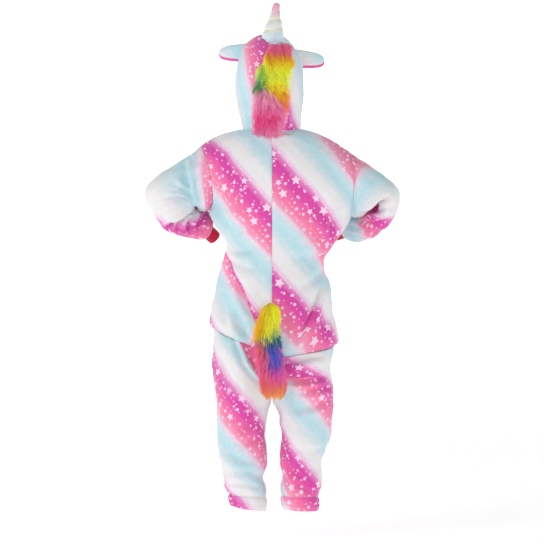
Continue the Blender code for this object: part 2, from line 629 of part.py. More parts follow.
def make_horn():
    """A stuffed cone whose foot follows the crown of the hood."""
    base_x, base_y = HORN["base"]
    tip = Vector(HORN["tip"])
    foot = []
    for step in range(HORN["sides"]):
        angle = 2 * math.pi * step / HORN["sides"]
        x = base_x + HORN_ROWS[0][1] * math.cos(angle)
        y = base_y + HORN_ROWS[0][1] * math.sin(angle)
        foot.append(Vector((x, y, hood_height(x, y) + HORN["clear"])))
    crown = Vector((base_x, base_y, hood_height(base_x, base_y) + HORN["clear"] + HORN["dome"]))
    shape = bmesh.new()
    rings = []
    for share, radius in HORN_ROWS:
        middle = crown.lerp(tip, share)
        line = []
        for step, low in enumerate(foot):
            angle = 2 * math.pi * step / HORN["sides"]
            cone = middle + Vector((radius * math.cos(angle), radius * math.sin(angle), 0))
            drop = (low.z - crown.z) * max(1 - share * HORN["settle"], 0)
            line.append(shape.verts.new(cone + Vector((0, 0, drop))))
        rings.append(line)
    for lower, upper in zip(rings, rings[1:]):
        for step in range(HORN["sides"]):
            after = (step + 1) % HORN["sides"]
            shape.faces.new([lower[step], lower[after], upper[after], upper[step]])
    shape.faces.new(rings[-1])
    hub = shape.verts.new(crown)
    for step in range(HORN["sides"]):
        shape.faces.new([hub, rings[0][(step + 1) % HORN["sides"]], rings[0][step]])
    bmesh.ops.recalc_face_normals(shape, faces=shape.faces)
    mesh_data = bpy.data.meshes.new("horn")
    shape.to_mesh(mesh_data)
    shape.free()
    new_object("horn", mesh_data)


def ear_rows(side, moved):
    ear = EAR[side]
    upper, lower, tip = (Vector((ear[key][0], EAR_Y, ear[key][1])) for key in ("upper", "lower", "tip"))
    back = Vector((0, 1, 0))
    root, half_root = (upper + lower) / 2, (upper - lower) / 2
    along = (tip - root).normalized()
    square = Vector((-abs(along.z), 0, abs(along.x))) * half_root.length
    rows = []
    for share, width in EAR_ROWS:
        up = half_root.lerp(square, min(share * 2, 1)) * width
        middle = root.lerp(tip, share) + back * (EAR_CURL * math.sin(math.pi * share) + moved)
        line = []
        for cell in range(EAR_CELLS + 1):
            across = 2 * cell / EAR_CELLS - 1
            line.append(middle + up * across - back * (EAR_CUP * up.length * across * across))
        rows.append(line)
    return rows


def make_ears():
    for side in (LEFT, RIGHT):
        flip = side == RIGHT
        sheet(f"ear_{SIDE_NAME[side]}_outer", ear_rows(side, 0.0), flip)
        sheet(f"ear_{SIDE_NAME[side]}_inner", ear_rows(side, -EAR_LAYER), flip)


def zip_edge(side):
    """The centre edge of a front panel, from the neck down to the foot of the zip."""
    rows = body_rows(side, FRONT)
    first = next(index for index, row in enumerate(YOKE) if row[0] == 0)
    last = len(YOKE) + ZIP["last_body_row"]
    return [row[0] for row in rows[first:last + 1]]


def make_zip_tapes():
    inwards = Vector((0, WALL + ZIP["behind"], 0))
    for side in (LEFT, RIGHT):
        rows = []
        for edge in zip_edge(side):
            near = Vector((side * ZIP["teeth_half"], edge.y, edge.z)) + inwards
            far = near + Vector((side * ZIP["tape"], ZIP["slant"], 0))
            rows.append([near, near.lerp(far, 0.5), far])
        sheet(f"zip_tape_{SIDE_NAME[side]}", rows, flip=side == LEFT, wall=ZIP["tape_wall"])


def block(shape, low, high):
    made = bmesh.ops.create_cube(shape, size=1.0)["verts"]
    low, high = Vector(low), Vector(high)
    middle, size = (low + high) / 2, high - low
    for vert in made:
        vert.co = middle + Vector((vert.co.x * size.x, vert.co.y * size.y, vert.co.z * size.z))
    return made


def joined(name, blocks):
    """One solid from blocks that run into each other."""
    first = None
    for index, (low, high) in enumerate(blocks):
        shape = bmesh.new()
        block(shape, low, high)
        mesh_data = bpy.data.meshes.new(name if first is None else f"{name}_join{index}")
        shape.to_mesh(mesh_data)
        shape.free()
        if first is None:
            first = new_object(name, mesh_data)
            continue
        tool = bpy.data.objects.new(f"{name}_join{index}", mesh_data)
        bpy.context.scene.collection.objects.link(tool)
        tool.hide_render = True
        tool.display_type = "WIRE"
        tool.parent = first
        union = first.modifiers.new(f"Join{index}", "BOOLEAN")
        union.operation = "UNION"
        union.object = tool
    return first


def make_slider_and_pull():
    """The slider at the top of the zip, with its strap, and the pull that hangs in the strap."""
    edge = zip_edge(LEFT)
    above, below = edge[0], edge[1]
    share = (above.z - SLIDER["z"]) / (above.z - below.z)
    place = above.lerp(below, share)
    place = Vector((0, place.y + WALL + ZIP["behind"], place.z))
    slope = math.atan2(above.y - below.y, above.z - below.z)
    turn = Matrix.Rotation(-slope, 4, "X")
    half, tall = SLIDER["width"] / 2, SLIDER["height"] / 2
    near, far = -SLIDER["clear"], -SLIDER["clear"] - SLIDER["wall"]
    strap = SLIDER["strap"] / 2
    top, outer = far - SLIDER["rise"], far - SLIDER["rise"] - SLIDER["strap_wall"]
    foot, thick, sunk = SLIDER["foot"], SLIDER["strap_wall"], far + SLIDER["sink"]
    slider = joined("zip_slider", (
        ((-half, far, -tall), (half, near, tall)),
        ((-strap, outer, foot - thick), (strap, sunk, foot)),
        ((-strap, outer, -foot), (strap, sunk, -foot + thick)),
        ((-strap, outer, -foot), (strap, top, foot)),
    ))
    slider.matrix_world = Matrix.Translation(place) @ turn
    hinge = Vector((0, far - SLIDER["rise"] / 2, 0))
    wide, arm, bar = PULL["width"] / 2, PULL["arm"], PULL["bar"] / 2
    flat = PULL["wall"] / 2
    window = PULL["window"]
    low, high = -window - PULL["sink"], bar - PULL["bar_sink"]
    pull = joined("zip_pull", (
        ((-wide, -bar, -bar), (wide, bar, bar)),
        ((-wide, -flat, low), (-wide + arm, flat, high)),
        ((wide - arm, -flat, low), (wide, flat, high)),
        ((-wide, -flat, -window - PULL["tab"]), (wide, flat, -window)),
    ))
    pull.matrix_world = Matrix.Translation(place + turn.to_3x3() @ hinge) @ turn


for side in (LEFT, RIGHT):
    for face in (BACK, FRONT):
        name = f"{FACE_NAME[face]}_{SIDE_NAME[side]}"
        sheet(name, body_rows(side, face), flip=side * face < 0, folded=True)
        sheet(f"leg_{name}", leg_rows(side, face), flip=side * face < 0, folded=True)
    label = SIDE_NAME[side]
    sheet(f"sleeve_{label}", sleeve_rows(side), flip=side == LEFT, closed=True)
    sheet(f"wrist_cuff_{label}", wrist_cuff_rows(side), flip=side == LEFT, closed=True)
    sheet(f"ankle_cuff_{label}", ankle_cuff_rows(side), flip=side == RIGHT, closed=True)
    sheet(f"hood_{label}", hood_rows(side), flip=side == LEFT)
make_mane()
make_tail()
make_horn()
make_ears()
make_zip_tapes()
make_slider_and_pull()
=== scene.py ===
import math

import bmesh
import bpy
import numpy as np
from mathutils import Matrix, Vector


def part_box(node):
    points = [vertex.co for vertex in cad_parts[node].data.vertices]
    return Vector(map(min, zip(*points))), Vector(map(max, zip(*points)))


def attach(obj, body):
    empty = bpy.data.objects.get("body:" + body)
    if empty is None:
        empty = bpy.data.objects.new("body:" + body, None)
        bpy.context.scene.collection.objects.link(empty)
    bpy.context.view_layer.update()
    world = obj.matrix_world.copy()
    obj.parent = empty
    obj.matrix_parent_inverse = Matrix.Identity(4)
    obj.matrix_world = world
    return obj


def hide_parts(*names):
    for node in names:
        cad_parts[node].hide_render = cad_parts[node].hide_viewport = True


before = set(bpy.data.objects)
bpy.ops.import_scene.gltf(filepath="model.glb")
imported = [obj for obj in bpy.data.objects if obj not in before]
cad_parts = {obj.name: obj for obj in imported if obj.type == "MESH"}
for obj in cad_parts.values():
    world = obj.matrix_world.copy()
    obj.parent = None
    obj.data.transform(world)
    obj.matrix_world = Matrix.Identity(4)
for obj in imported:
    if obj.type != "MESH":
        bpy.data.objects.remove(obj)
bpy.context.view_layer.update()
left, right = 1, -1
back, front = 1, -1
sideNames = {left: "left", right: "right"}
faceNames = {back: "back", front: "front"}
body = "garment"

cloth = dict(
    wall=0.0022,         # flannel fleece, pile included
    seam=0.00015,        # from the middle of a seam to the edge of a piece
    dip=0.0015,          # how far an edge is drawn in by its seam
    dipReach=0.0042,
    pucker=0.0008,       # ripples along a seam
    puckerPitch=0.013,
    rowSteps=7,          # fine rows for each row of the tables
    cells=58,            # fine cells across a panel
)


# smooth forms from short tables

def unit(vectors):
    return vectors / np.maximum(np.linalg.norm(vectors, axis=-1, keepdims=True), 1e-9)


def millimetres(*rows, plain=()):
    # a table in metres, from rows in millimetres, except the plain columns: angles, shares and sides
    scale = np.full(len(rows[0]), 0.001)
    scale[list(plain)] = 1
    return np.array(rows) * scale


def flowing(rows, at, breaks=()):
    # values of a table at fractional row numbers, on a smooth curve through every row
    rows = np.asarray(rows, float)
    steps = np.diff(rows, axis=0)
    leaving = np.vstack([steps[:1], (steps[1:] + steps[:-1]) / 2, steps[-1:]])
    reaching = leaving.copy()
    for row in breaks:
        leaving[row], reaching[row] = steps[row], steps[row - 1]
    low = np.clip(np.floor(at).astype(int), 0, len(rows) - 2)
    t = (at - low)[:, None]
    return (rows[low] * (2 * t**3 - 3 * t**2 + 1) + leaving[low] * (t**3 - 2 * t**2 + t)
            + rows[low + 1] * (3 * t**2 - 2 * t**3) + reaching[low + 1] * (t**3 - t**2))


def bend(start, leave, end, arrive, shares):
    # rows of points on curves that leave start one way and reach end another
    leave, arrive = unit(leave), unit(arrive)
    span = end - start
    turn = np.arccos(np.clip((leave * arrive).sum(-1), -1, 1))
    turn = np.maximum(turn, 0.001)
    full = 4 * np.tan(turn / 4) / np.sin(turn)
    pullOut = leave * (np.abs((span * leave).sum(-1)) * full)[:, None]
    pullIn = arrive * (np.abs((span * arrive).sum(-1)) * full)[:, None]
    t = shares[None, :, None]
    return (start[:, None] * (2 * t**3 - 3 * t**2 + 1) + pullOut[:, None] * (t**3 - 2 * t**2 + t)
            + end[:, None] * (3 * t**2 - 2 * t**3) + pullIn[:, None] * (t**3 - t**2))


def closerAtEdges(count, pull=0.6):
    # shares from 0 to 1 that stand closer together near both ends
    even = np.linspace(0, 1, count + 1)
    return even - pull * np.sin(2 * math.pi * even) / (2 * math.pi)


def finely(rowCount):
    # fractional row numbers, closer together in the first and the last step
    ends = closerAtEdges(cloth["rowSteps"] * (rowCount - 1), 0.45)
    return ends * (rowCount - 1)


def across(side, rows):
    return np.tile([float(side), 0, 0], (rows, 1))


# body panels, front and back

neck = dict(half=0.073, back=0.060, front=-0.0745, sideZ=0.010, frontZ=-0.0245)
zipHalf = 0.006          # from the centre to the edge of a front panel
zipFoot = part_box("zip_tape_left")[0][2]
armholes = {
    left: dict(top=(0.1775, -0.0310), bottom=(0.1500, -0.1900), reach=0.068, hollow=0.012),
    right: dict(top=(0.1975, -0.0500), bottom=(0.1970, -0.2090), reach=0.068, hollow=-0.006),
}
# neck angle, drop, armhole angle, lean, reach of the centre seam at the back and the front
yoke = millimetres(
    (90, 0, 0, 0, 60, 74.5),
    (60, 0, 28, 4, 60, 74.5),
    (30, 0, 54, 8, 60, 74.5),
    (0, 0, 78, 14, 60, 74.5),
    (0, 50, 102, 24, 86, 88),
    (0, 102, 126, 42, 99, 95),
    (0, 152, 152, 66, 104, 98),
    (0, 195, 180, 90, 103, 98),
    plain=(0, 2, 3))
# z inside, z outside, x outside, reach at the back, reach at the front
bodyRows = {
    left: millimetres(
        (-195, -190, 150, 103, 98),
        (-215, -212.5, 150.5, 102, 99),
        (-245, -245, 134.5, 99, 100),
        (-280, -278, 115, 95, 101),
        (-312, -308, 118, 93, 102),
        (-345, -338, 129, 94, 104),
        (-385, -375, 139, 98, 106),
        (-425, -410, 145, 104, 107),
        (-470, -445, 151, 110, 106),
        (-510, -473.5, 156, 111, 104),
        (-535, -487.5, 146, 101, 97),
    ),
    right: millimetres(
        (-195, -209, 197, 103, 98),
        (-220, -233, 186, 102, 99),
        (-250, -260, 169, 99, 100),
        (-282, -287, 150, 95, 101),
        (-314, -313, 133.5, 93, 102),
        (-348, -342, 131, 94, 104),
        (-388, -375, 145, 98, 106),
        (-430, -415, 150, 104, 107),
        (-480, -460, 155.5, 110, 106),
        (-520, -503, 164, 113, 104),
        (-543, -520, 166.5, 110, 102),
        (-556, -532.5, 156, 101, 97),
    ),
}


def neckline(side, face, degrees):
    angle = np.radians(degrees)
    reach = neck["back"] if face == back else neck["front"]
    centreZ = 0.0 if face == back else neck["frontZ"]
    edge = cloth["seam"] if face == back else zipHalf
    return np.stack([side * (edge + (neck["half"] - edge) * np.sin(angle)), reach * np.cos(angle),
                     centreZ + (neck["sideZ"] - centreZ) * np.sin(angle)**2], axis=-1)


def armhole(side, face, degrees):
    ring = armholes[side]
    angle = np.radians(degrees)
    top, bottom = np.array(ring["top"]), np.array(ring["bottom"])
    flat = (top + bottom) / 2 + (top - bottom) / 2 * np.cos(angle)[..., None]
    return np.stack([side * (flat[..., 0] - ring["hollow"] * np.sin(angle)**2),
                     face * ring["reach"] * np.sin(angle), flat[..., 1]], axis=-1)


def armWay(side):
    first, ring = sleeveRows[side][1], armholes[side]
    return unit(np.array([side * (first[0] - ring["top"][0]), 0.0, first[2] - ring["top"][1]]))


def bodyPanel(side, face):
    edge = cloth["seam"] if face == back else zipHalf
    reachColumn = 4 if face == back else 5
    forward = np.array([0.0, -face, 0])
    rowNumbers = finely(len(yoke) + len(bodyRows[side]) - 1)
    upper = rowNumbers[rowNumbers < len(yoke) - 1]
    lower = rowNumbers[len(upper):] - (len(yoke) - 1)
    values = flowing(yoke, upper, breaks=(3,))
    firstZ, deepest = (0.0 if face == back else neck["frontZ"]), bodyRows[side][0][0]
    drop = np.maximum(values[:, 1], 0)
    start = np.stack([np.full(len(upper), side * edge), face * values[:, reachColumn],
                      firstZ + (deepest - firstZ) * drop / abs(deepest)], axis=-1)
    onNeck = upper < 3
    start[onNeck] = neckline(side, face, np.clip(values[:, 0], 0, 90))[onNeck]
    end = armhole(side, face, np.clip(values[:, 2], 0, 180))
    lean = np.radians(values[:, 3])[:, None]
    arrive = armWay(side) * np.cos(lean) + forward * np.sin(lean)
    sideways = across(side, len(upper))
    alongShoulder = np.clip(values[:, 0] / 30, 0, 1)[:, None]
    leave = sideways + unit(end - start) * alongShoulder
    shares = closerAtEdges(cloth["cells"])
    top = bend(start, leave, end, arrive, shares)
    values = flowing(bodyRows[side], lower)
    shut = np.clip((zipFoot + 0.014 - values[:, 0]) / 0.012, 0, 1) if face == front else 0 * values[:, 0]
    start = np.stack([side * (edge * (1 - shut) + cloth["seam"] * shut),
                      face * values[:, 3 if face == back else 4], values[:, 0]], axis=-1)
    end = np.stack([side * values[:, 2], np.full(len(lower), face * cloth["seam"]), values[:, 1]], axis=-1)
    bottom = bend(start, across(side, len(lower)), end, np.tile(forward, (len(lower), 1)), shares)
    return np.concatenate([top, bottom])


# z inside, z outside, x inside, x outside, y inside, turn, dip, depth
legRows = {
    left: millimetres(
        (-535, -487.5, 0, 146, 101, 0, 0, 100),
        (-570, -540, 0, 146, 101, 0, 0, 101),
        (-605, -590, 0, 145, 92, 0, 0.1, 97),
        (-638, -632, 0, 142.5, 68, 5, 0.4, 90),
        (-662, -664, 0, 140.5, 36, 20, 0.8, 83),
        (-674, -686, 1, 139.8, 0, 55, 0.8, 78),
        (-705, -708, 12.5, 138, 0, 90, 0.1, 75),
        (-752.5, -752.5, 18.5, 137.5, 0, 90, 0, 71),
        (-790, -790, 14, 135, 0, 90, 0, 68),
        (-827.5, -827.5, 12.5, 127.5, 0, 90, 0, 64),
        (-860, -860, 23.5, 120.5, 0, 90, 0, 59),
        (-886, -884, 16, 118, 0, 90, 0, 57),
        (-908, -900, 14.5, 107, 0, 90, 0, 48),
        plain=(5, 6)),
    right: millimetres(
        (-556, -532.5, 0, 156, 101, 0, 0, 100),
        (-580, -564, 0, 150, 100, 0, 0, 100),
        (-608, -600, 0, 147.5, 91, 0, 0.1, 96),
        (-638, -638, 0, 153, 68, 5, 0.4, 90),
        (-662, -664, 0, 153.5, 36, 20, 0.8, 83),
        (-674, -686, 1, 152.5, 0, 55, 0.8, 78),
        (-705, -708, 17, 150.5, 0, 90, 0.1, 75),
        (-752.5, -752.5, 23, 149, 0, 90, 0, 71),
        (-785, -780, 21, 138, 0, 90, 0, 66),
        (-820, -818, 21, 123.5, 0, 90, 0, 63),
        (-852, -852, 27.5, 124.5, 0, 90, 0, 60),
        (-882, -884, 21, 123.5, 0, 90, 0, 57),
        (-904, -908, 23.5, 116, 0, 90, 0, 48),
        plain=(5, 6)),
}
frontLegDepth = 0.96


def legPanel(side, face, seatSeam):
    rowNumbers = finely(len(legRows[side]))
    inside = flowing(legRows[side], rowNumbers, breaks=(5,))
    outside = flowing(legRows[side], rowNumbers)
    share = 1 if face == back else frontLegDepth
    rows = len(rowNumbers)
    edge = np.maximum(inside[:, 2], cloth["seam"])
    start = np.stack([side * edge, face * np.maximum(inside[:, 4] * share, cloth["seam"]), inside[:, 0]], -1)
    middle = np.stack([side * (edge + outside[:, 3]) / 2, face * outside[:, 7] * share,
                       (inside[:, 0] + outside[:, 1]) / 2], -1)
    end = np.stack([side * outside[:, 3], np.full(rows, face * cloth["seam"]), outside[:, 1]], -1)
    turn = np.radians(inside[:, 5])
    leave = np.stack([side * np.cos(turn), face * np.sin(turn), -inside[:, 6]], -1)
    forward = np.tile([0.0, -face, 0], (rows, 1))
    shares = closerAtEdges(cloth["cells"])
    near, far = shares[shares <= 0.5] * 2, shares[shares > 0.5] * 2 - 1
    points = np.concatenate([bend(start, leave, middle, across(side, rows), near),
                             bend(middle, across(side, rows), end, forward, far)], axis=1)
    seam = seatSeam - np.array([0, 0, 2 * cloth["seam"]])
    hold = np.clip(1 - rowNumbers, 0, 1)[:, None, None]
    return points * (1 - hold) + seam[None] * hold


# outer edge, inner edge, half reach, hollow of the seam; the last row ends the wrist band
sleeveRows = {
    left: millimetres(
        (177.5, 0, -31, 150, 0, -190, 68, 12),
        (208.5, 2, -56.8, 162, 2, -196.5, 66, 0),
        (250, 6, -84, 174, 6, -196, 63, 0),
        (286, 10, -105.5, 184, 8, -191, 60, 0),
        (311, 12, -132, 190, 8, -182.5, 58, 0),
        (316.5, 10, -156, 192.5, 4, -185, 56, 0),
        (306, 4, -184, 192, -3, -189, 54, 0),
        (290, -5, -212, 186, -11, -191.5, 52, 0),
        (270, -16, -237, 179, -20, -194.5, 50, 0),
        (240, -28, -250, 169, -29, -194, 46, 0),
        (211, -40, -260, 158.5, -37, -197, 41, 0),
        (188, -48, -265, 153.5, -44, -207, 33, 0),
        (173.5, -53, -261, 155, -51, -225, 23, 0),
        (158.5, -68, -273.5, 133, -66, -248, 19, 0),
    ),
    right: millimetres(
        (197.5, 0, -50, 197, 0, -209, 68, -6),
        (234, 4, -75.5, 212, 4, -211, 66, 0),
        (268, 10, -97, 229, 6, -203, 62, 0),
        (298, 16, -121, 246, 6, -190, 58, 0),
        (315, 18, -148, 258, 2, -176, 55, 0),
        (317, 10, -173, 260, -8, -176, 53, 0),
        (312, -4, -197, 256, -22, -178, 52, 0),
        (302, -22, -218, 248, -38, -182, 50, 0),
        (284, -42, -237, 237, -54, -187, 47, 0),
        (262, -62, -254, 224, -70, -194, 43, 0),
        (234, -82, -266, 206, -84, -200, 38, 0),
        (208, -98, -268, 192.5, -95, -210, 30, 0),
        (188, -107, -262, 184, -103, -223, 21, 0),
        (166, -125, -268, 162, -121, -233, 18, 0),
    ),
}


def sleeveTube(side, first, last, cells):
    # rings of points between two rows of the table, with the angle of each place round
    steps = max(int(round((last - first) * cloth["rowSteps"])), 6)
    rowNumbers = first + (last - first) * closerAtEdges(steps, 0.3)
    rows = np.array(sleeveRows[side])
    rows[:, (0, 3, 7)] *= side
    values = flowing(rows, rowNumbers)
    outer, inner = values[:, 0:3], values[:, 3:6]
    middle, half = (outer + inner) / 2, (outer - inner) / 2
    along = np.gradient(middle, axis=0)
    backwards = unit(np.cross(along, half))
    backwards *= np.where(backwards[:, 1:2] < 0, -1, 1)
    if first == 0:
        calm = np.clip(1 - rowNumbers, 0, 1)[:, None]
        backwards = unit(backwards * (1 - calm) + np.array([0, 1.0, 0]) * calm)
    angle = (math.pi + np.linspace(0, 2 * math.pi, cells, endpoint=False))[None, :, None]
    points = (middle[:, None] + half[:, None] * np.cos(angle)
              + backwards[:, None] * values[:, 6][:, None, None] * np.sin(angle))
    points[..., 0] -= values[:, 7][:, None] * np.sin(angle[..., 0])**2
    return points, middle, np.sin(angle[..., 0]) * np.ones((len(points), 1))


# centre seam, widest point and face edge, from the neck to the brow
hoodRows = millimetres(
    (60, 0, 73, -7, 10, 10, -74.8, -24),
    (74, 30, 76.5, -3, 33, 40, -80, 4),
    (92, 62, 81.5, 0, 62, 60, -77.5, 36),
    (104, 98, 85.5, 2, 96, 70, -73, 74),
    (107, 135, 86.5, 2, 129, 71.5, -70, 111),
    (98, 172, 83, 0, 160, 66, -69, 143),
    (76, 208, 75, -6, 189, 56, -69, 168),
    (45, 234.5, 61, -14, 215, 45, -70, 186),
    (5, 248, 45, -28, 230, 34, -71.5, 198),
    (-36, 237, 29, -50, 224, 25, -73, 205),
    (-74, 210, 9, -74, 209, 17, -73.8, 207),
)
hoodShift, hoodShiftRise = 0.006, 0.080


def hoodHalf(side):
    rowNumbers = finely(len(hoodRows))
    values = flowing(hoodRows, rowNumbers)
    rows = len(rowNumbers)
    start = np.stack([np.full(rows, side * cloth["seam"]), values[:, 0], values[:, 1]], -1)
    middle = np.stack([side * values[:, 2], values[:, 3], values[:, 4]], -1)
    end = np.stack([side * values[:, 5], values[:, 6], values[:, 7]], -1)
    fall = end - start
    ahead = fall * np.array([0, 1, 0.6])
    brow = np.clip(rowNumbers - (len(hoodRows) - 2), 0, 1)[:, None]
    ahead = ahead * (1 - brow) + fall * brow
    cells = cloth["cells"]
    shares = closerAtEdges(cells)
    near, far = shares[shares <= 0.6] / 0.6, (shares[shares > 0.6] - 0.6) / 0.4
    points = np.concatenate([bend(start, across(side, rows), middle, ahead, near),
                             bend(middle, ahead, end, end - middle, far)], axis=1)
    collar = np.concatenate([neckline(side, back, 90 * near), neckline(side, front, 90 * (1 - far / 1.0625))])
    collar[:, 2] += 2 * cloth["seam"]
    hold = np.clip(1 - rowNumbers, 0, 1)[:, None, None]
    points = points * (1 - hold) + collar[None] * hold
    lift = np.clip(points[..., 2] / hoodShiftRise, 0, 1)
    points[..., 0] += hoodShift * lift * lift * (3 - 2 * lift)
    return points


# creases: face, start across and up, end across and up, bow, width, depth, lip on one side

bodyCreases = millimetres(
    (back, -73.5, -505, -128.5, -380, 0, 5.5, 12.5, 8.5),
    (back, -105, -515, -150, -435, 4, 12, 5, 3),
    (back, 85, -367.5, 40, -460, 6, 8, 11, 6),
    (back, 98, -435, 48, -515, 8, 8.5, 12, 6.5),
    (back, 126, -405, 102, -490, 4, 8, 6.5, 4.5),
    (back, 115, -255, 35, -215, 6, 10, 7, 4.5),
    (back, 112, -285, 45, -290, 8, 9, 7, 4.5),
    (back, 120, -315, 45, -350, -6, 10, 6.5, 4.5),
    (back, 148, -150, 100, -240, 10, 7, 8.5, 5.5),
    (back, 142, -105, 108, -205, 6, 8.5, 6, 4),
    (back, -145, -285, -60, -235, 8, 10, 7, 4.5),
    (back, -135, -312, -50, -320, 8, 9, 7.5, 5),
    (back, -136, -340, -60, -390, -6, 9.5, 7, 4.5),
    (back, -190, -180, -140, -260, 10, 8, 7.5, 5),
    (back, -40, -430, -30, -530, 4, 11, 4, 2),
    (back, 20, -350, 25, -420, 4, 12, 3.5, 2),
    (front, 85, -495, 128, -375, 8, 9, 9, 5),
    (front, -75, -500, -128, -365, -8, 9, 10, 5),
    (front, 115, -255, 30, -220, 6, 12, 5, 3),
    (front, 118, -290, 35, -310, 8, 11, 5.5, 3.5),
    (front, -140, -285, -35, -245, 8, 12, 5, 3),
    (front, -135, -320, -40, -335, 6, 11, 5.5, 3.5),
    (front, 50, -400, 20, -490, 6, 12, 5, 3),
    (front, -45, -410, -20, -505, -6, 12, 5, 3),
    (front, 145, -140, 100, -230, 10, 9, 5.5, 3),
    (front, -185, -170, -130, -250, 10, 9, 5.5, 3),
    plain=(0,))
legCreases = millimetres(
    (back, 95, -508, 27.5, -625, 12, 5.5, 14, -8.5),
    (back, 55, -535, 13, -620, 6, 9, 5, 3),
    (back, 135, -540, 70, -640, 10, 10, 7, 4.5),
    (back, -30, -612, -140, -606, 6, 5, 12.5, 8),
    (back, -42, -572, -130, -556, -5, 7, 7, 5),
    (back, -60, -648, -145, -635, -6, 7, 7.5, 5.5),
    (back, -50, -685, -140, -662, 6, 8, 6.5, 4.5),
    (back, -30, -700, -95, -750, 6, 8.5, 7, 4.5),
    (back, 20, -700, 95, -740, -6, 8.5, 7, 4.5),
    (back, 22, -752, 95, -770, -6, 7.5, 7, 4.5),
    (back, 132, -780, 55, -815, 6, 8.5, 6.5, 4.5),
    (back, 25, -856, 95, -840, 6, 6, 8.5, 6),
    (back, 30, -885, 105, -870, 4, 6, 7, 5),
    (back, -140, -778, -60, -790, -6, 7, 9, 6),
    (back, -32.5, -814.5, -78, -856, 6, 6.5, 9.5, 6),
    (back, -58, -862, -105, -895, 4, 6, 8, 5.5),
    (back, -120, -835, -70, -840, 4, 8, 4, 3),
    (front, 45, -620, 120, -565, 6, 9, 8, 4.5),
    (front, -45, -625, -130, -595, 6, 8, 9, 4.5),
    (front, 35, -670, 125, -645, 6, 11, 5, 3),
    (front, -35, -670, -135, -650, 6, 10, 5.5, 3),
    (front, 30, -780, 115, -760, 6, 11, 5, 3),
    (front, -35, -790, -125, -772, 6, 10, 6, 4),
    (front, 30, -855, 100, -835, 6, 8, 6, 4),
    (front, -40, -835, -105, -855, 6, 8, 6, 4),
    (front, 35, -885, 100, -878, 4, 7, 4.5, 3),
    (front, -45, -885, -110, -882, 4, 7, 4.5, 3),
    plain=(0,))
sleeveCreases = {
    left: millimetres(
        (back, 184, -185, 268, -237, -8, 5, 21, 12),
        (back, 190, -176, 242, -130, 4, 4.5, 11, 8),
        (back, 196, -179, 262, -166, 8, 4, 11.5, 8),
        (back, 204, -184, 276, -188, 10, 4.5, 9.5, 7),
        (back, 208, -192, 260, -208, 6, 4.5, 6, 4),
        (back, 190, -170, 216, -70, -10, 6.5, 11, 7),
        (back, 172, -180, 190, -100, -6, 6.5, 7, 4.5),
        (back, 190, -203, 208, -254, 8, 4.5, 12.5, 9),
        (back, 212, -212, 238, -250, 8, 4.5, 11.5, 8),
        (back, 232, -220, 262, -242, 6, 4.5, 6, 5),
        (back, 172, -205, 185, -256, 6, 4.5, 9, 6),
        (back, 162, -212, 172, -252, 4, 4, 6, 4),
        (front, 190, -185, 260, -220, -6, 8, 11, 5),
        (front, 196, -178, 250, -150, 4, 6, 6, 4),
        (front, 200, -184, 265, -185, 6, 6, 5.5, 4),
        (front, 195, -205, 215, -250, 6, 6, 7, 5),
        (front, 175, -208, 188, -252, 4, 5, 6, 4),
        plain=(0,)),
    right: millimetres(
        (back, -196, -212, -290, -160, 6, 5, 21, -12),
        (back, -230, -193, -306, -183, 8, 5, 8, 6),
        (back, -206, -212, -298, -214, 14, 5, 11, 8),
        (back, -194, -228, -278, -236, 14, 5, 11, 8),
        (back, -192, -245, -245, -258, 6, 4.5, 6, 4),
        (back, -215, -185, -270, -120, 6, 8, 6, 4),
        (front, -220, -195, -295, -170, 4, 8, 11, 5),
        (front, -210, -212, -285, -225, -10, 6, 7, 5),
        (front, -200, -228, -260, -245, -10, 5, 7, 5),
        (front, -240, -185, -300, -135, 6, 8, 5, 3),
        plain=(0,)),
}
hoodCreases = millimetres(
    (back, 78, 35, 55, 90, 4, 11, 4, 2),
    (back, -72, 30, -52, 85, 4, 11, 4.5, 2),
    (back, 55, 8, 52, 50, 4, 8, 3.5, 2),
    (back, -50, 8, -44, 55, 4, 8, 4, 2),
    (back, -30, 195, -62, 165, 4, 8, 3, 2),
    plain=(0,))


def creased(points, facing, creases):
    # how far the creases move each point out, less than 0 where they draw it in
    moved = np.zeros(points.shape[:2])
    here = points[..., (0, 2)]
    count = 8            # straight stretches that a bowed crease is made of
    for face, x0, z0, x1, z1, bow, width, depth, lip in creases:
        start, end = np.array([x0, z0]), np.array([x1, z1])
        square = unit(np.array([-(end - start)[1], (end - start)[0]]))
        best = np.full(moved.shape, 9.0)
        aside, share = np.zeros(moved.shape), np.zeros(moved.shape)
        knots = [start + (end - start) * t + square * bow * math.sin(math.pi * t)
                 for t in np.linspace(0, 1, count + 1)]
        for index, (a, b) in enumerate(zip(knots, knots[1:])):
            span = b - a
            reach = np.clip(((here - a) @ span) / (span @ span), 0, 1)
            gap = here - a - reach[..., None] * span
            distance = np.linalg.norm(gap, axis=-1)
            nearer = distance < best
            best = np.where(nearer, distance, best)
            side = np.sign(gap @ np.array([-span[1], span[0]]))
            aside = np.where(nearer, side, aside)
            share = np.where(nearer, (index + reach) / count, share)
        taper = np.sin(math.pi * np.clip(share, 0, 1)) ** 0.6
        offset = best * aside / width
        away = (offset - 2.1 * np.sign(lip)) / 1.3
        shape = -depth * np.exp(-offset**2) + abs(lip) * np.exp(-away**2)
        moved += shape * taper * np.clip(facing * face * 4, 0, 1)
    return moved


# height, size and seed of the slow rise and fall of the cloth
swells = dict(
    body=((0.0012, 0.075, 3), (0.0005, 0.026, 4)),
    leg=((0.0014, 0.070, 5), (0.0005, 0.024, 6)),
    sleeve=((0.0012, 0.060, 7), (0.0005, 0.022, 8)),
    hood=((0.0010, 0.060, 9),),
)


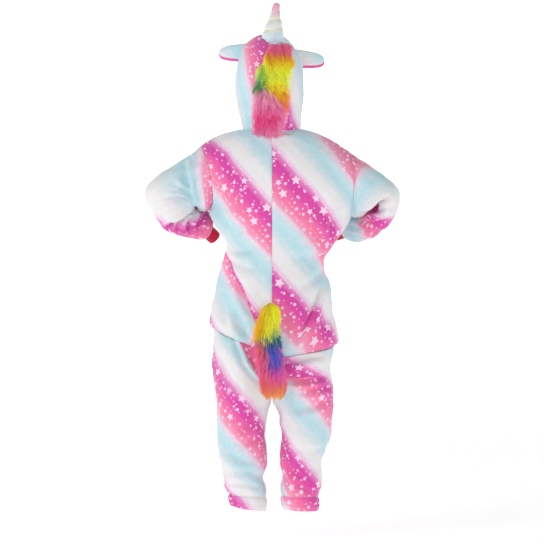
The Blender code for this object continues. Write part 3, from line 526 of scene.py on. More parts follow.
def swell(points, part):
    swollen = 0
    for height, size, seed in swells[part]:
        chance = np.random.default_rng(seed)
        total = np.zeros(points.shape[:-1])
        for wave in range(9):
            way = unit(chance.normal(size=3)) * 2 * math.pi / (size * chance.uniform(0.7, 1.6))
            total += np.sin(points @ way + chance.uniform(0, 2 * math.pi))
        swollen = swollen + total * height / 3
    return swollen


def gridNormals(points, heart, closed=False):
    if closed:
        ring = np.concatenate([points[:, -1:], points, points[:, :1]], axis=1)
        sideways = np.gradient(ring, axis=1)[:, 1:-1]
    else:
        sideways = np.gradient(points, axis=1)
    normals = unit(np.cross(sideways, np.gradient(points, axis=0)))
    outward = np.sign((normals * (points - heart)).sum())
    return normals * outward, outward


def lengths(points, axis):
    steps = np.linalg.norm(np.diff(points, axis=axis), axis=-1)
    start = np.zeros_like(np.take(steps, [0], axis=axis))
    return np.concatenate([start, np.cumsum(steps, axis=axis)], axis=axis)


def drawnIn(points, edges):
    # what the seams do, for edges as (first, last) column and row: how far they draw the cloth in,
    # the ripples beside them, and how firmly they hold it, from 0 to 1 at the edge itself
    alongRow, alongColumn = lengths(points, 1), lengths(points, 0)
    distances = (alongRow, alongRow[:, -1:] - alongRow, alongColumn, alongColumn[-1:] - alongColumn)
    travel = (alongColumn, alongColumn, alongRow, alongRow)
    dip, ripples, hold = (np.zeros(points.shape[:2]) for part in range(3))
    for used, distance, way in zip(edges, distances, travel):
        if not used:
            continue
        near = np.exp(-(distance / cloth["dipReach"])**2)
        wide = np.exp(-(distance / (cloth["dipReach"] * 4))**2)
        phase = 2 * math.pi * way / cloth["puckerPitch"]
        ripple = np.sin(phase + 2.2 * np.sin(phase * 0.23)) * (0.6 + 0.4 * np.sin(phase * 0.31))
        dip = np.maximum(dip, cloth["dip"] * near * used)
        ripples += cloth["pucker"] * ripple * (wide - near) * used
        hold = np.maximum(hold, near)
    return dip, ripples, hold


def clothArea(points):
    a, b = points[:-1, 1:] - points[:-1, :-1], points[1:, :-1] - points[:-1, :-1]
    return float(np.linalg.norm(np.cross(a, b), axis=-1).sum())


def meshFrom(name, points, outward, uv, closed=False):
    rows, columns = points.shape[:2]
    mesh = bpy.data.meshes.new(name)
    spans = columns if closed else columns - 1
    i, j = np.meshgrid(np.arange(rows - 1), np.arange(spans), indexing="ij")
    i, j = i.ravel(), j.ravel()
    after = (j + 1) % columns
    corners = np.stack([i * columns + j, i * columns + after, (i + 1) * columns + after,
                        (i + 1) * columns + j], axis=1)
    places = np.stack([np.stack([i, j], -1), np.stack([i, j + 1], -1),
                       np.stack([i + 1, j + 1], -1), np.stack([i + 1, j], -1)], axis=1)
    if outward < 0:
        corners, places = corners[:, ::-1], places[:, ::-1]
    mesh.from_pydata(points.reshape(-1, 3).tolist(), [], corners.tolist())
    layer = mesh.uv_layers.new(name="cloth")
    flatPlaces = places.reshape(-1, 2)
    layer.data.foreach_set("uv", uv[flatPlaces[:, 0], flatPlaces[:, 1]].ravel())
    mesh.polygons.foreach_set("use_smooth", [True] * len(mesh.polygons))
    piece = bpy.data.objects.new(name, mesh)
    bpy.context.scene.collection.objects.link(piece)
    return piece


def closeEnds(piece):
    grid = bmesh.new()
    grid.from_mesh(piece.data)
    bmesh.ops.holes_fill(grid, edges=[edge for edge in grid.edges if edge.is_boundary], sides=0)
    bmesh.ops.recalc_face_normals(grid, faces=grid.faces)
    grid.to_mesh(piece.data)
    grid.free()


def applyModifiers(piece):
    bpy.ops.object.select_all(action="DESELECT")
    piece.select_set(True)
    bpy.context.view_layer.objects.active = piece
    for modifier in list(piece.modifiers):
        bpy.ops.object.modifier_apply(modifier=modifier.name)
    piece.select_set(False)


def finished(piece, finish, node=None):
    # its material, the body it moves with and the solid it stands for
    piece.data.materials.append(finish)
    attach(piece, body)
    if node:
        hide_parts(node)


def sewn(name, points, heart, laid, finish, closed=False, edges=(1, 1, 1, 1),
         move=0.0, wall=cloth["wall"], inward=None):
    # one piece of cloth: creased, drawn in at its seams and given its wall
    normals, outward = gridNormals(points, heart, closed)
    loop = np.concatenate([points, points[:, :1]], axis=1) if closed else points
    flat = (float(lengths(loop, 1)[:, -1].max()), float(lengths(points, 0)[-1].max()))
    area = clothArea(loop)
    dip, ripples, hold = drawnIn(points, (0, 0) + edges[2:] if closed else edges)
    shift = ripples + move * (1 - hold)
    if inward is None:
        inward = -normals
    else:
        inward = unit(inward(points) * hold[..., None] - normals * (1 - hold[..., None]))
    moved = points + normals * shift[..., None] + inward * dip[..., None]
    piece = meshFrom(name + "_cloth", moved, outward, laid(loop), closed)
    thick = piece.modifiers.new("wall", "SOLIDIFY")
    thick.thickness = wall
    thick.offset = -1
    applyModifiers(piece)
    finished(piece, finish, name)
    return piece


# materials

class Wire:
    # a socket that can be written in sums
    def __init__(self, tree, socket):
        self.tree, self.socket = tree, socket

    def worked(self, operation, *values):
        node = self.tree.nodes.new("ShaderNodeMath")
        node.operation = operation
        for place, value in enumerate(values):
            plug(self.tree, node.inputs[place], value)
        return Wire(self.tree, node.outputs[0])

    def __add__(self, other):
        return self.worked("ADD", self, other)

    __radd__ = __add__

    def __mul__(self, other):
        return self.worked("MULTIPLY", self, other)

    __rmul__ = __mul__

    def __sub__(self, other):
        return self.worked("SUBTRACT", self, other)

    def __rsub__(self, other):
        return self.worked("SUBTRACT", other, self)

    def __truediv__(self, other):
        return self.worked("DIVIDE", self, other)

    def __rtruediv__(self, other):
        return self.worked("DIVIDE", other, self)

    def within(self):
        clamp = self.tree.nodes.new("ShaderNodeClamp")
        plug(self.tree, clamp.inputs[0], self)
        return Wire(self.tree, clamp.outputs[0])


def plug(tree, socket, value):
    if isinstance(value, Wire):
        tree.links.new(value.socket, socket)
    else:
        socket.default_value = value


def light(red, green, blue):
    # a colour as a screen shows it, made linear
    return tuple(((v / 255 + 0.055) / 1.055)**2.4 if v > 10 else v / 255 / 12.92
                 for v in (red, green, blue)) + (1.0,)


def stops(*rows):
    # a ramp's places and colours, from rows of place, red, green and blue
    return [(row[0], light(*row[1:])) for row in rows]


class Finish:
    def __init__(self, name, **constants):
        self.material = bpy.data.materials.new(name)
        self.material.use_nodes = True
        self.tree = self.material.node_tree
        self.shader = self.tree.nodes["Principled BSDF"]
        for words, value in constants.items():
            self.shader.inputs[words.replace("_", " ")].default_value = value

    def node(self, kind, settings, inputs, output=0):
        made = self.tree.nodes.new("ShaderNode" + kind)
        for key, value in settings.items():
            if key == "stops":
                ramp = made.color_ramp
                while len(ramp.elements) < len(value):
                    ramp.elements.new(0.5)
                for element, (place, colour) in zip(ramp.elements, value):
                    element.position = place
                    element.color = colour
            elif key == "blend":
                made.color_ramp.interpolation = value
            else:
                setattr(made, key, value)
        for key, value in inputs.items():
            plug(self.tree, made.inputs[key], value)
        outputs = output if isinstance(output, tuple) else (output,)
        wires = [Wire(self.tree, made.outputs[name]) for name in outputs]
        return wires if isinstance(output, tuple) else wires[0]

    def mixed(self, factor, first, second, how="MIX"):
        made = self.tree.nodes.new("ShaderNodeMix")
        made.data_type = "RGBA"
        made.blend_type = how
        made.clamp_factor = True
        for place, value in ((0, factor), (6, first), (7, second)):
            plug(self.tree, made.inputs[place], value)
        return Wire(self.tree, made.outputs[2])

    def bumped(self, height, strength, distance):
        relief = {"Height": height, "Strength": strength, "Distance": distance}
        self.feed("Normal", self.node("Bump", {}, relief, "Normal"))

    def feed(self, socket, value):
        plug(self.tree, self.shader.inputs[socket], value)


clothPrint = dict(
    period=0.200,        # across the stripes
    wobble=0.006,
    stripes=stops((0.00, 234, 232, 234), (0.05, 238, 202, 226), (0.10, 230, 124, 192),
                  (0.16, 220, 70, 166), (0.235, 224, 74, 168), (0.30, 236, 98, 168),
                  (0.40, 246, 122, 166), (0.48, 246, 152, 186), (0.54, 232, 214, 228),
                  (0.60, 198, 226, 234), (0.70, 184, 222, 230), (0.80, 208, 226, 231),
                  (0.88, 232, 232, 232), (1.00, 234, 233, 234)),
    star=light(255, 226, 242),
    # cell, chance, size, pointed
    motifs=((0.054, 0.74, 0.0112, True), (0.030, 0.34, 0.0058, True), (0.0215, 0.72, 0.0033, False),
            (0.0125, 0.50, 0.0017, False)),
)


def starEdge(angle, size):
    # distance from a star's middle to its edge, at an angle
    fifth = math.pi / 5
    valley = size * 0.52
    fold = angle.worked("PINGPONG", angle, fifth)
    low = fold.worked("SINE", fold) * valley
    high = fold.worked("SINE", fifth - fold) * size
    return valley * size * math.sin(fifth) / (low + high)


def printedFleece():
    finish = Finish("printed_fleece", Roughness=0.88, Sheen_Weight=0.30, Sheen_Roughness=0.55,
                    Specular_IOR_Level=0.25)
    node = finish.node
    uv = node("UVMap", {"uv_map": "cloth"}, {}, "UV")
    cloud = node("TexNoise", {}, {"Vector": uv, "Scale": 11.0, "Detail": 1.0}, 0)
    place = node("SeparateXYZ", {}, {"Vector": uv}, "X")
    stripe = (place + (cloud - 0.5) * clothPrint["wobble"] * 2) / clothPrint["period"]
    stripe = stripe.worked("FRACT", stripe)
    colour = node("ValToRGB", {"stops": clothPrint["stripes"], "blend": "EASE"}, {"Fac": stripe}, "Color")
    inPink = ((stripe - 0.04) * 14).within() * ((0.56 - stripe) * 14).within()
    marks = inPink * 0.0
    clear = inPink * 0.0 + 1.0
    for cell, chance, size, pointed in clothPrint["motifs"]:
        scaled = node("VectorMath", {"operation": "SCALE"}, {0: uv, "Scale": 1 / cell}, 0)
        middle, seed = node("TexVoronoi", {"voronoi_dimensions": "2D"},
                            {"Vector": scaled, "Scale": 1.0, "Randomness": 0.72}, ("Position", "Color"))
        offset = node("VectorMath", {"operation": "SUBTRACT"}, {0: scaled, 1: middle}, 0)
        x, y = node("SeparateXYZ", {}, {"Vector": offset}, ("X", "Y"))
        far = node("VectorMath", {"operation": "LENGTH"}, {0: offset}, "Value") * cell
        pick, scale, turn = node("SeparateColor", {}, {"Color": seed}, ("Red", "Green", "Blue"))
        reach = (scale * 0.5 + 0.72) * size
        if pointed:
            angle = x.worked("ARCTAN2", y, x) + turn * (2 * math.pi) + 10.0
            edge = starEdge(angle, 1.0) * reach
        else:
            edge = reach
        soft = 0.0012 if pointed else 0.0018
        chosen = ((chance - pick) * 60).within()
        mark = ((edge - far) / soft + 0.5).within() * chosen * clear
        marks = marks.worked("MAXIMUM", marks, mark)
        if pointed:
            clear = clear * (1 - chosen * ((reach * 1.35 - far) / 0.002).within())
    shown = marks * (inPink * 0.55 + 0.32)
    colour = finish.mixed(shown, colour, clothPrint["star"])
    mottle = node("TexNoise", {}, {"Vector": uv, "Scale": 170.0, "Detail": 3.0, "Roughness": 0.6}, 0)
    dapple = finish.mixed(mottle, (0.86, 0.86, 0.87, 1), (1.0, 1.0, 1.0, 1))
    colour = finish.mixed(1.0, colour, dapple, "MULTIPLY")
    finish.feed("Base Color", colour)
    pile = node("TexNoise", {}, {"Vector": uv, "Scale": 1100.0, "Detail": 2.0}, 0)
    finish.bumped(pile * 0.55 + mottle * 0.9, 0.55, 0.0012)
    return finish.material


def plainFleece(name, colour, relief=0.0012):
    finish = Finish(name, Roughness=0.85, Sheen_Weight=0.3, Sheen_Roughness=0.5, Specular_IOR_Level=0.25)
    place = finish.node("TexCoord", {}, {}, "Object")
    mottle = finish.node("TexNoise", {}, {"Vector": place, "Scale": 260.0, "Detail": 3.0}, 0)
    pile = finish.node("TexNoise", {}, {"Vector": place, "Scale": 1400.0, "Detail": 1.0}, 0)
    deep = tuple(v * 0.72 for v in colour[:3]) + (1.0,)
    finish.feed("Base Color", finish.mixed(mottle, deep, colour))
    finish.bumped(mottle * 0.5 + pile, 0.5, relief)
    return finish.material


def furFinish(name, bands):
    # u runs along the bands of colour, v from root to tip
    finish = Finish(name, Roughness=0.5, Sheen_Weight=0.25, Sheen_Roughness=0.4, Specular_IOR_Level=0.35)
    uv = finish.node("UVMap", {"uv_map": "cloth"}, {}, "UV")
    band, tip = finish.node("SeparateXYZ", {}, {"Vector": uv}, ("X", "Y"))
    colour = finish.node("ValToRGB", {"stops": bands, "blend": "LINEAR"}, {"Fac": band}, "Color")
    place = finish.node("TexCoord", {}, {}, "Object")
    patch = finish.node("TexNoise", {}, {"Vector": place, "Scale": 420.0, "Detail": 2.0}, 0)
    # painted shade between the strands: each strand is darker towards its root, more so in random patches
    shade = ((tip * 1.5 + 0.32) * (patch * 0.9 + 0.62)).within()
    paintedRootShade = finish.mixed(1.0, colour, (0.62, 0.36, 0.44, 1), "MULTIPLY")
    finish.feed("Base Color", finish.mixed(shade, paintedRootShade, colour))
    finish.feed("Roughness", 0.62 - tip * 0.2)
    return finish.material


def satinFinish():
    finish = Finish("horn_satin", Roughness=0.42, Sheen_Weight=0.35, Sheen_Roughness=0.3,
                    Specular_IOR_Level=0.5)
    place = finish.node("TexCoord", {}, {}, "Object")
    height = finish.node("SeparateXYZ", {}, {"Vector": place}, "Z")
    cloudy = finish.node("TexNoise", {}, {"Vector": place, "Scale": 40.0, "Detail": 2.0}, 0)
    low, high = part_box("horn")
    share = (height - low[2]) / (high[2] - low[2]) + (cloudy - 0.5) * 0.16
    colour = finish.node("ValToRGB", {"stops": hornBands}, {"Fac": share}, "Color")
    finish.feed("Base Color", colour)
    weave = finish.node("TexNoise", {}, {"Vector": place, "Scale": 900.0, "Detail": 2.0}, 0)
    finish.feed("Roughness", weave * 0.2 + 0.34)
    finish.bumped(weave, 0.3, 0.0006)
    return finish.material


def hardFinish(name, colour, metallic, roughness):
    finish = Finish(name, Metallic=metallic)
    place = finish.node("TexCoord", {}, {}, "Object")
    wear = finish.node("TexNoise", {}, {"Vector": place, "Scale": 700.0, "Detail": 3.0}, 0)
    finish.feed("Base Color", finish.mixed(wear, tuple(v * 0.8 for v in colour[:3]) + (1,), colour))
    finish.feed("Roughness", wear * 0.25 + roughness)
    finish.bumped(wear, 0.15, 0.0003)
    return finish.material


hornBands = stops((0.0, 196, 214, 226), (0.16, 206, 222, 224), (0.27, 230, 226, 206),
                  (0.36, 214, 222, 222), (0.48, 222, 220, 220), (0.56, 232, 226, 204),
                  (0.66, 228, 206, 212), (0.78, 230, 180, 198), (1.0, 224, 158, 186))
# the dark green at 0.70 is painted shade: the dark gap between the green and the pink fur
maneBands = stops((0.00, 255, 140, 185), (0.12, 255, 110, 150), (0.22, 255, 160, 60),
                  (0.34, 255, 208, 20), (0.44, 255, 255, 50), (0.54, 222, 250, 110),
                  (0.62, 140, 224, 120), (0.70, 56, 130, 90), (0.76, 255, 188, 208),
                  (0.88, 255, 152, 205), (1.00, 255, 78, 155))
# the dark teal at 0.50 is painted shade: the dark gap between the yellow and the blue fur
tailBands = stops((0.00, 255, 175, 60), (0.12, 255, 216, 20), (0.26, 255, 255, 20),
                  (0.36, 250, 252, 90), (0.44, 40, 150, 150), (0.50, 20, 84, 110),
                  (0.56, 80, 110, 225), (0.66, 140, 100, 215), (0.74, 245, 96, 205),
                  (0.84, 255, 116, 185), (0.92, 255, 140, 120), (1.00, 255, 190, 80))

printed = printedFleece()
print("materials made")


# the print: each piece is cut from the cloth at its own place, u across the stripes


def leftOf(points, x0, z0, x1, z1):
    # how far points are to the left of a line, and where along it
    span = np.array([x1 - x0, z1 - z0])
    length = np.linalg.norm(span)
    aside = ((points[..., 0] - x0) * span[1] - (points[..., 2] - z0) * span[0]) / length
    return aside, ((points[..., 0] - x0) * span[0] + (points[..., 2] - z0) * span[1]) / length**2


tuckWidth, foldWidth = 0.0040, 0.0026


def pattern(turn=47, offset=0.0, side=None, column=0.0, tucks=(), folded=None):
    # turn of the stripes in degrees, where they start, the column whose width is true (as a share),
    # the cloth hidden in deep folds: a line, and the width hidden on its left hand; and a fold beyond
    # which the cloth lies another way: a line, the turn and the start of the stripes on its left hand
    turn = math.radians(turn)

    def laid(points):
        x, z = points[..., 0].copy(), points[..., 2]
        if side is not None:
            true = int(column * (points.shape[1] - 1))
            run = lengths(points, 1)
            x = points[:, true:true + 1, 0] + side * (run - run[:, true:true + 1])
        u = x * math.sin(turn) - z * math.cos(turn) + offset
        for x0, z0, x1, z1, hidden in tucks:
            aside, share = leftOf(points, x0, z0, x1, z1)
            fade = np.clip((share + 0.30) * 3, 0, 1) * np.clip((1.30 - share) * 3, 0, 1)
            u = u + hidden * fade * np.clip(aside / tuckWidth + 0.5, 0, 1)
        if folded:
            way = math.radians(folded[4])
            beyond = np.clip(leftOf(points, *folded[:4])[0] / foldWidth + 0.5, 0, 1)
            u = u * (1 - beyond) + (x * math.sin(way) - z * math.cos(way) + folded[5]) * beyond
        return np.stack([u, x * math.cos(turn) + z * math.sin(turn)], axis=-1)
    return laid


prints = {
    ("body", left, back): dict(offset=-0.1120, tucks=((0.040, -0.470, 0.120, -0.285, 0.078),)),
    ("body", right, back): dict(offset=-0.0136, tucks=((-0.1285, -0.380, -0.0735, -0.505, 0.022),)),
    ("body", left, front): dict(offset=-0.0550, turn=-47),
    ("body", right, front): dict(offset=-0.1300, turn=-47),
    ("leg", left, back): dict(offset=-0.5050, turn=44, column=0.5,
                              tucks=((0.089, -0.505, 0.0275, -0.625, -0.050),)),
    ("leg", right, back): dict(offset=-0.2835, column=0.5,
                               folded=(-0.030, -0.612, -0.150, -0.602, 25, -0.4725)),
    ("leg", left, front): dict(offset=-0.4100, turn=-47, column=0.5),
    ("leg", right, front): dict(offset=-0.3500, turn=-47, column=0.5),
    ("hood", left): dict(offset=0.0840, turn=72),
    ("hood", right): dict(offset=0.0866, turn=68),
}


def sleevePattern(offset, along):
    # laid straight from shoulder to wrist; along says how fast the stripes pass that way and round
    def laid(points):
        count = points.shape[1] - 1
        run = lengths(points[:, :-1].mean(axis=1)[:, None], 0)
        around = lengths(points, 1)
        aside = around[:, 3 * count // 4, None] - around
        return np.stack([run * along[0] + aside * along[1] + offset, aside - run * along[1]], -1)
    return laid


# the cloth pieces, one by one

legMiddle = dict(x=0.078, below=-0.55, within=0.10)      # where the legs' seams start to be drawn in


def toTheMiddle(points):
    # where the body's seams are drawn to
    axis = np.array([0.55, 0, 0]) * points
    return unit((axis - points) * np.array([1, 1, 0]))


def intoTheLeg(side):
    def inward(points):
        below = np.clip((legMiddle["below"] - points[..., 2:]) / legMiddle["within"], 0, 1)
        centre = np.array([side * legMiddle["x"], 0, 0]) + 0 * points
        return unit(toTheMiddle(points) * (1 - below) + unit((centre - points) * np.array([1, 1, 0])) * below)
    return inward


def intoTheSleeve(points):
    near = np.clip(1 - lengths(points, 0) / 0.02, 0, 1)[..., None]
    centre = points.mean(axis=1, keepdims=True)
    return unit(unit(toTheMiddle(points)) * near + unit(centre - points) * (1 - near))


panels = {}
for side in (left, right):
    for face in (back, front):
        name = f"{faceNames[face]}_{sideNames[side]}"
        points = bodyPanel(side, face)
        panels[side, face] = points
        facing = np.full(points.shape[:2], face)
        move = creased(points, facing, bodyCreases) + swell(points, "body")
        sewn(name, points, points * np.array([0, 0, 1]), pattern(side=side, **prints["body", side, face]),
             printed, move=move, inward=toTheMiddle)
        points = legPanel(side, face, points[-1])
        panels["leg", side, face] = points
        facing = np.full(points.shape[:2], face)
        heart = points * np.array([0, 0, 1]) + np.array([side * legMiddle["x"], 0, 0])
        move = creased(points, facing, legCreases) + swell(points, "leg")
        sewn("leg_" + name, points, heart, pattern(side=side, **prints["leg", side, face]), printed,
             move=move, inward=intoTheLeg(side))
print("body and legs made")

redRib = plainFleece("red_rib", light(205, 20, 58), relief=0.0008)
sleevePrint = {
    left: dict(offset=0.084, along=(0.80, 0.20)),
    right: dict(offset=0.098, along=(1.0, -0.38)),
}
ribs = dict(count=50, height=0.00026, cells=216, wall=0.0015)
for side in (left, right):
    label = sideNames[side]
    points, middle, facing = sleeveTube(side, 0, 12, 96)
    points = points + armWay(side) * 2 * cloth["seam"]
    move = creased(points, facing, sleeveCreases[side]) + swell(points, "sleeve")
    fade = np.clip(lengths(points, 0) / 0.02, 0, 1)
    sewn("sleeve_" + label, points, middle[:, None], sleevePattern(**sleevePrint[side]), printed,
         closed=True, move=move * fade, inward=intoTheSleeve)
    points, middle, facing = sleeveTube(side, 12, 13, ribs["cells"])
    angle = np.linspace(0, 2 * math.pi, ribs["cells"], endpoint=False)[None]
    rib = ribs["height"] * np.cos(angle * ribs["count"]) * np.ones((len(points), 1))
    sewn("wrist_cuff_" + label, points, middle[:, None], pattern(), redRib,
         closed=True, edges=(0, 0, 0.3, 0.2), move=rib, wall=ribs["wall"])
print("sleeves and cuffs made")


ankles = {
    left: dict(zIn=-0.9440, zOut=-0.9300, xIn=0.0150, xOut=0.1050, reach=0.044),
    right: dict(zIn=-0.9390, zOut=-0.9430, xIn=0.0265, xOut=0.1160, reach=0.044),
}


def ankleTube(side):
    foot = ankles[side]
    behind, ahead = panels["leg", side, back][-1], panels["leg", side, front][-1]
    ring = np.concatenate([behind, ahead[-2:0:-1]])
    ring = ring - np.array([0, 0, 2 * cloth["seam"]])
    low, high = np.abs(ring[:, 0]).min(), np.abs(ring[:, 0]).max()
    share = (np.abs(ring[:, 0]) - low) / (high - low)
    hem = np.stack([side * (foot["xIn"] + (foot["xOut"] - foot["xIn"]) * share),
                    ring[:, 1] * foot["reach"] / np.abs(ring[:, 1]).max(),
                    foot["zIn"] + (foot["zOut"] - foot["zIn"]) * share], -1)
    steps = closerAtEdges(22, 0.3)[:, None, None]
    points = ring[None] * (1 - steps) + hem[None] * steps
    belly = np.sin(math.pi * steps) * 0.05
    centre = np.array([side * (low + high) / 2, 0, 0])
    return points + (points - centre) * belly * np.array([1, 1, 0])


anklePrint = {left: -0.6628, right: -0.5030}
gathers = dict(count=23, wander=1.6, height=0.0011, fineCount=37, fineHeight=0.0006, hem=0.0014)
for side in (left, right):
    label = sideNames[side]
    points = ankleTube(side)
    heart = points.mean(axis=1, keepdims=True)
    around = np.arctan2(points[..., 1] - heart[..., 1], points[..., 0] - heart[..., 0])
    down = lengths(points, 0) / lengths(points, 0)[-1:]
    wandering = around * gathers["count"] + gathers["wander"] * np.sin(around * 3)
    ripples = (np.cos(wandering) * gathers["height"]
               + np.cos(around * gathers["fineCount"] + side) * gathers["fineHeight"])
    stitched = -gathers["hem"] * np.exp(-((down - 0.55) / 0.05)**2)
    sewn("ankle_cuff_" + label, points, heart, pattern(offset=anklePrint[side]), printed,
         closed=True, edges=(0, 0, 1, 0.5),
         move=ripples * np.sin(math.pi * (0.15 + 0.85 * down)) + stitched)

hoods = {}
hoodHeart = np.array([0, 0, 0.12])
for side in (left, right):
    points = hoodHalf(side)
    hoods[side] = points
    facing = np.clip(points[..., 1] * 30, -1, 1)
    move = creased(points, facing, hoodCreases) + swell(points, "hood")
    sewn("hood_" + sideNames[side], points, hoodHeart, pattern(side=side, **prints["hood", side]), printed,
         edges=(1, 0.5, 1, 0), move=move)
print("hood made")

# ears

ears = {
    left: dict(upper=(0.0580, 0.2260), lower=(0.0760, 0.1830), tip=(0.1335, 0.2035)),
    right: dict(upper=(-0.0500, 0.2120), lower=(-0.0720, 0.1690), tip=(-0.1320, 0.1830)),
}
earShape = dict(
    # share of the length, share of the root's width
    rows=((0.00, 1.00), (0.18, 0.90), (0.40, 0.78), (0.62, 0.70), (0.82, 0.56), (0.94, 0.36), (1.0, 0.06)),
    cup=0.24, curl=0.004, y=-0.006, root=0.010,
    layer=0.0050, lower=0.0062,          # how far the pink layer is in front, and lower
    steps=6, cells=24, wall=0.0026,
)


def earLayer(side, moved):
    ear = ears[side]
    upper, lower, tip = (np.array([ear[key][0], earShape["y"], ear[key][1]])
                         for key in ("upper", "lower", "tip"))
    root, halfRoot = (upper + lower) / 2, (upper - lower) / 2
    along = unit(tip - root)
    square = np.array([-abs(along[2]), 0, abs(along[0])]) * np.linalg.norm(halfRoot)
    at = np.linspace(0, len(earShape["rows"]) - 1, earShape["steps"] * (len(earShape["rows"]) - 1) + 1)
    cells = np.linspace(-1, 1, earShape["cells"] + 1)[:, None]
    rows = []
    for share, width in flowing(earShape["rows"], at):
        blend = min(share * 2, 1)
        up = (halfRoot * (1 - blend) + square * blend) * max(width, 0.05)
        middle = root + (tip - root) * share
        ahead = earShape["root"] * (1 - share)**2
        middle = middle + np.array([0, earShape["curl"] * math.sin(math.pi * share) + moved + ahead,
                                    earShape["lower"] * moved / earShape["layer"]])
        rows.append(middle + up * cells - np.array([0, earShape["cup"] * np.linalg.norm(up), 0]) * cells**2)
    return np.array(rows)


earPrint = {left: 0.216, right: 0.366}
earPink = plainFleece("pink_fleece", light(248, 96, 176))
ahead = np.array([0, 1.0, 0])
for side in (left, right):
    name = f"ear_{sideNames[side]}_"
    outer, inner = earLayer(side, 0.0), earLayer(side, -earShape["layer"])
    sewn(name + "outer", outer, outer - ahead, pattern(offset=earPrint[side]), printed,
         edges=(0.4, 0.4, 0.4, 0.4), wall=earShape["wall"])
    sewn(name + "inner", inner, inner - ahead, pattern(), earPink, edges=(0, 0, 0, 0),
         wall=earShape["wall"])
print("ears made")

# horn: a stuffed cone wound into rolls by a thread

horn = dict(
    base=(-0.002, 0.040), tip=(-0.0115, 0.020, 0.3235), rise=0.010, rings=120, sides=72,
    turns=4.3, roll=0.0030,              # of the thread, and how far the rolls stand out
    gathers=8, gather=0.0022,            # round the foot
    # radius, share of the height
    profile=((0.0278, 0.0), (0.0260, 0.12), (0.0228, 0.25), (0.0195, 0.38), (0.0152, 0.52),
             (0.0122, 0.66), (0.0104, 0.80), (0.0092, 0.92), (0.0062, 0.98), (0.0004, 1.0)),
)


def makeHorn():
    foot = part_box("horn")[0][2]
    shares = np.linspace(0, 1, horn["rings"] + 1)
    radii = np.interp(shares, [row[1] for row in horn["profile"]], [row[0] for row in horn["profile"]])
    start = np.array([horn["base"][0], horn["base"][1], foot + horn["rise"]])
    axis = start + (np.array(horn["tip"]) - start) * shares[:, None]
    angle = np.linspace(0, 2 * math.pi, horn["sides"], endpoint=False)
    winding = (shares[:, None] ** 0.9) * horn["turns"] - angle[None] / (2 * math.pi)
    phase = winding - np.floor(winding)
    rolls = np.sqrt(np.clip(1 - (2 * phase - 1)**2, 0, 1)) - 0.6
    size = horn["roll"] * (np.clip(radii / 0.022, 0, 1) * np.clip(shares / 0.16, 0.15, 1))[:, None]
    scallop = horn["gather"] * np.cos(angle * horn["gathers"])[None] * np.exp(-(shares / 0.05)**2)[:, None]
    radius = np.maximum(radii[:, None] + rolls * size, 0.0003)
    points = axis[:, None] + np.stack([radius * np.cos(angle), radius * np.sin(angle),
                                       np.zeros_like(radius)], -1)
    crown = crownHeight(points[0])
    drop = (crown - start[2] + 0.0006)[None] * np.clip(1 - shares * 2.6, 0, 1)[:, None] ** 1.3
    points[..., 2] += drop + scallop
    uv = np.zeros((len(points), horn["sides"] + 1, 2))
    piece = meshFrom("horn_stuffed", points, 1, uv, closed=True)
    closeEnds(piece)
    finished(piece, satinFinish(), "horn")


def crownHeight(places):
    # how high the top of the hood is under each place
    cloud = np.concatenate([hoods[left].reshape(-1, 3), hoods[right].reshape(-1, 3)])
    cloud = cloud[cloud[:, 2] > 0.17]
    heights = []
    for place in places:
        nearest = np.argsort(((cloud[:, :2] - place[:2])**2).sum(1))[:4]
        heights.append(cloud[nearest, 2].mean())
    return np.array(heights)


makeHorn()
print("horn made")

# fur: locks of tapered strands on a ground of cloth

fur = dict(width=0.0012, segments=6, sides=3, locks=170, gather=0.82, curl=0.42)


def tableColumn(rows, at, number):
    # one column of a table, at values of its first column
    rows = sorted(rows)
    return np.interp(at, [row[0] for row in rows], [row[number] for row in rows])


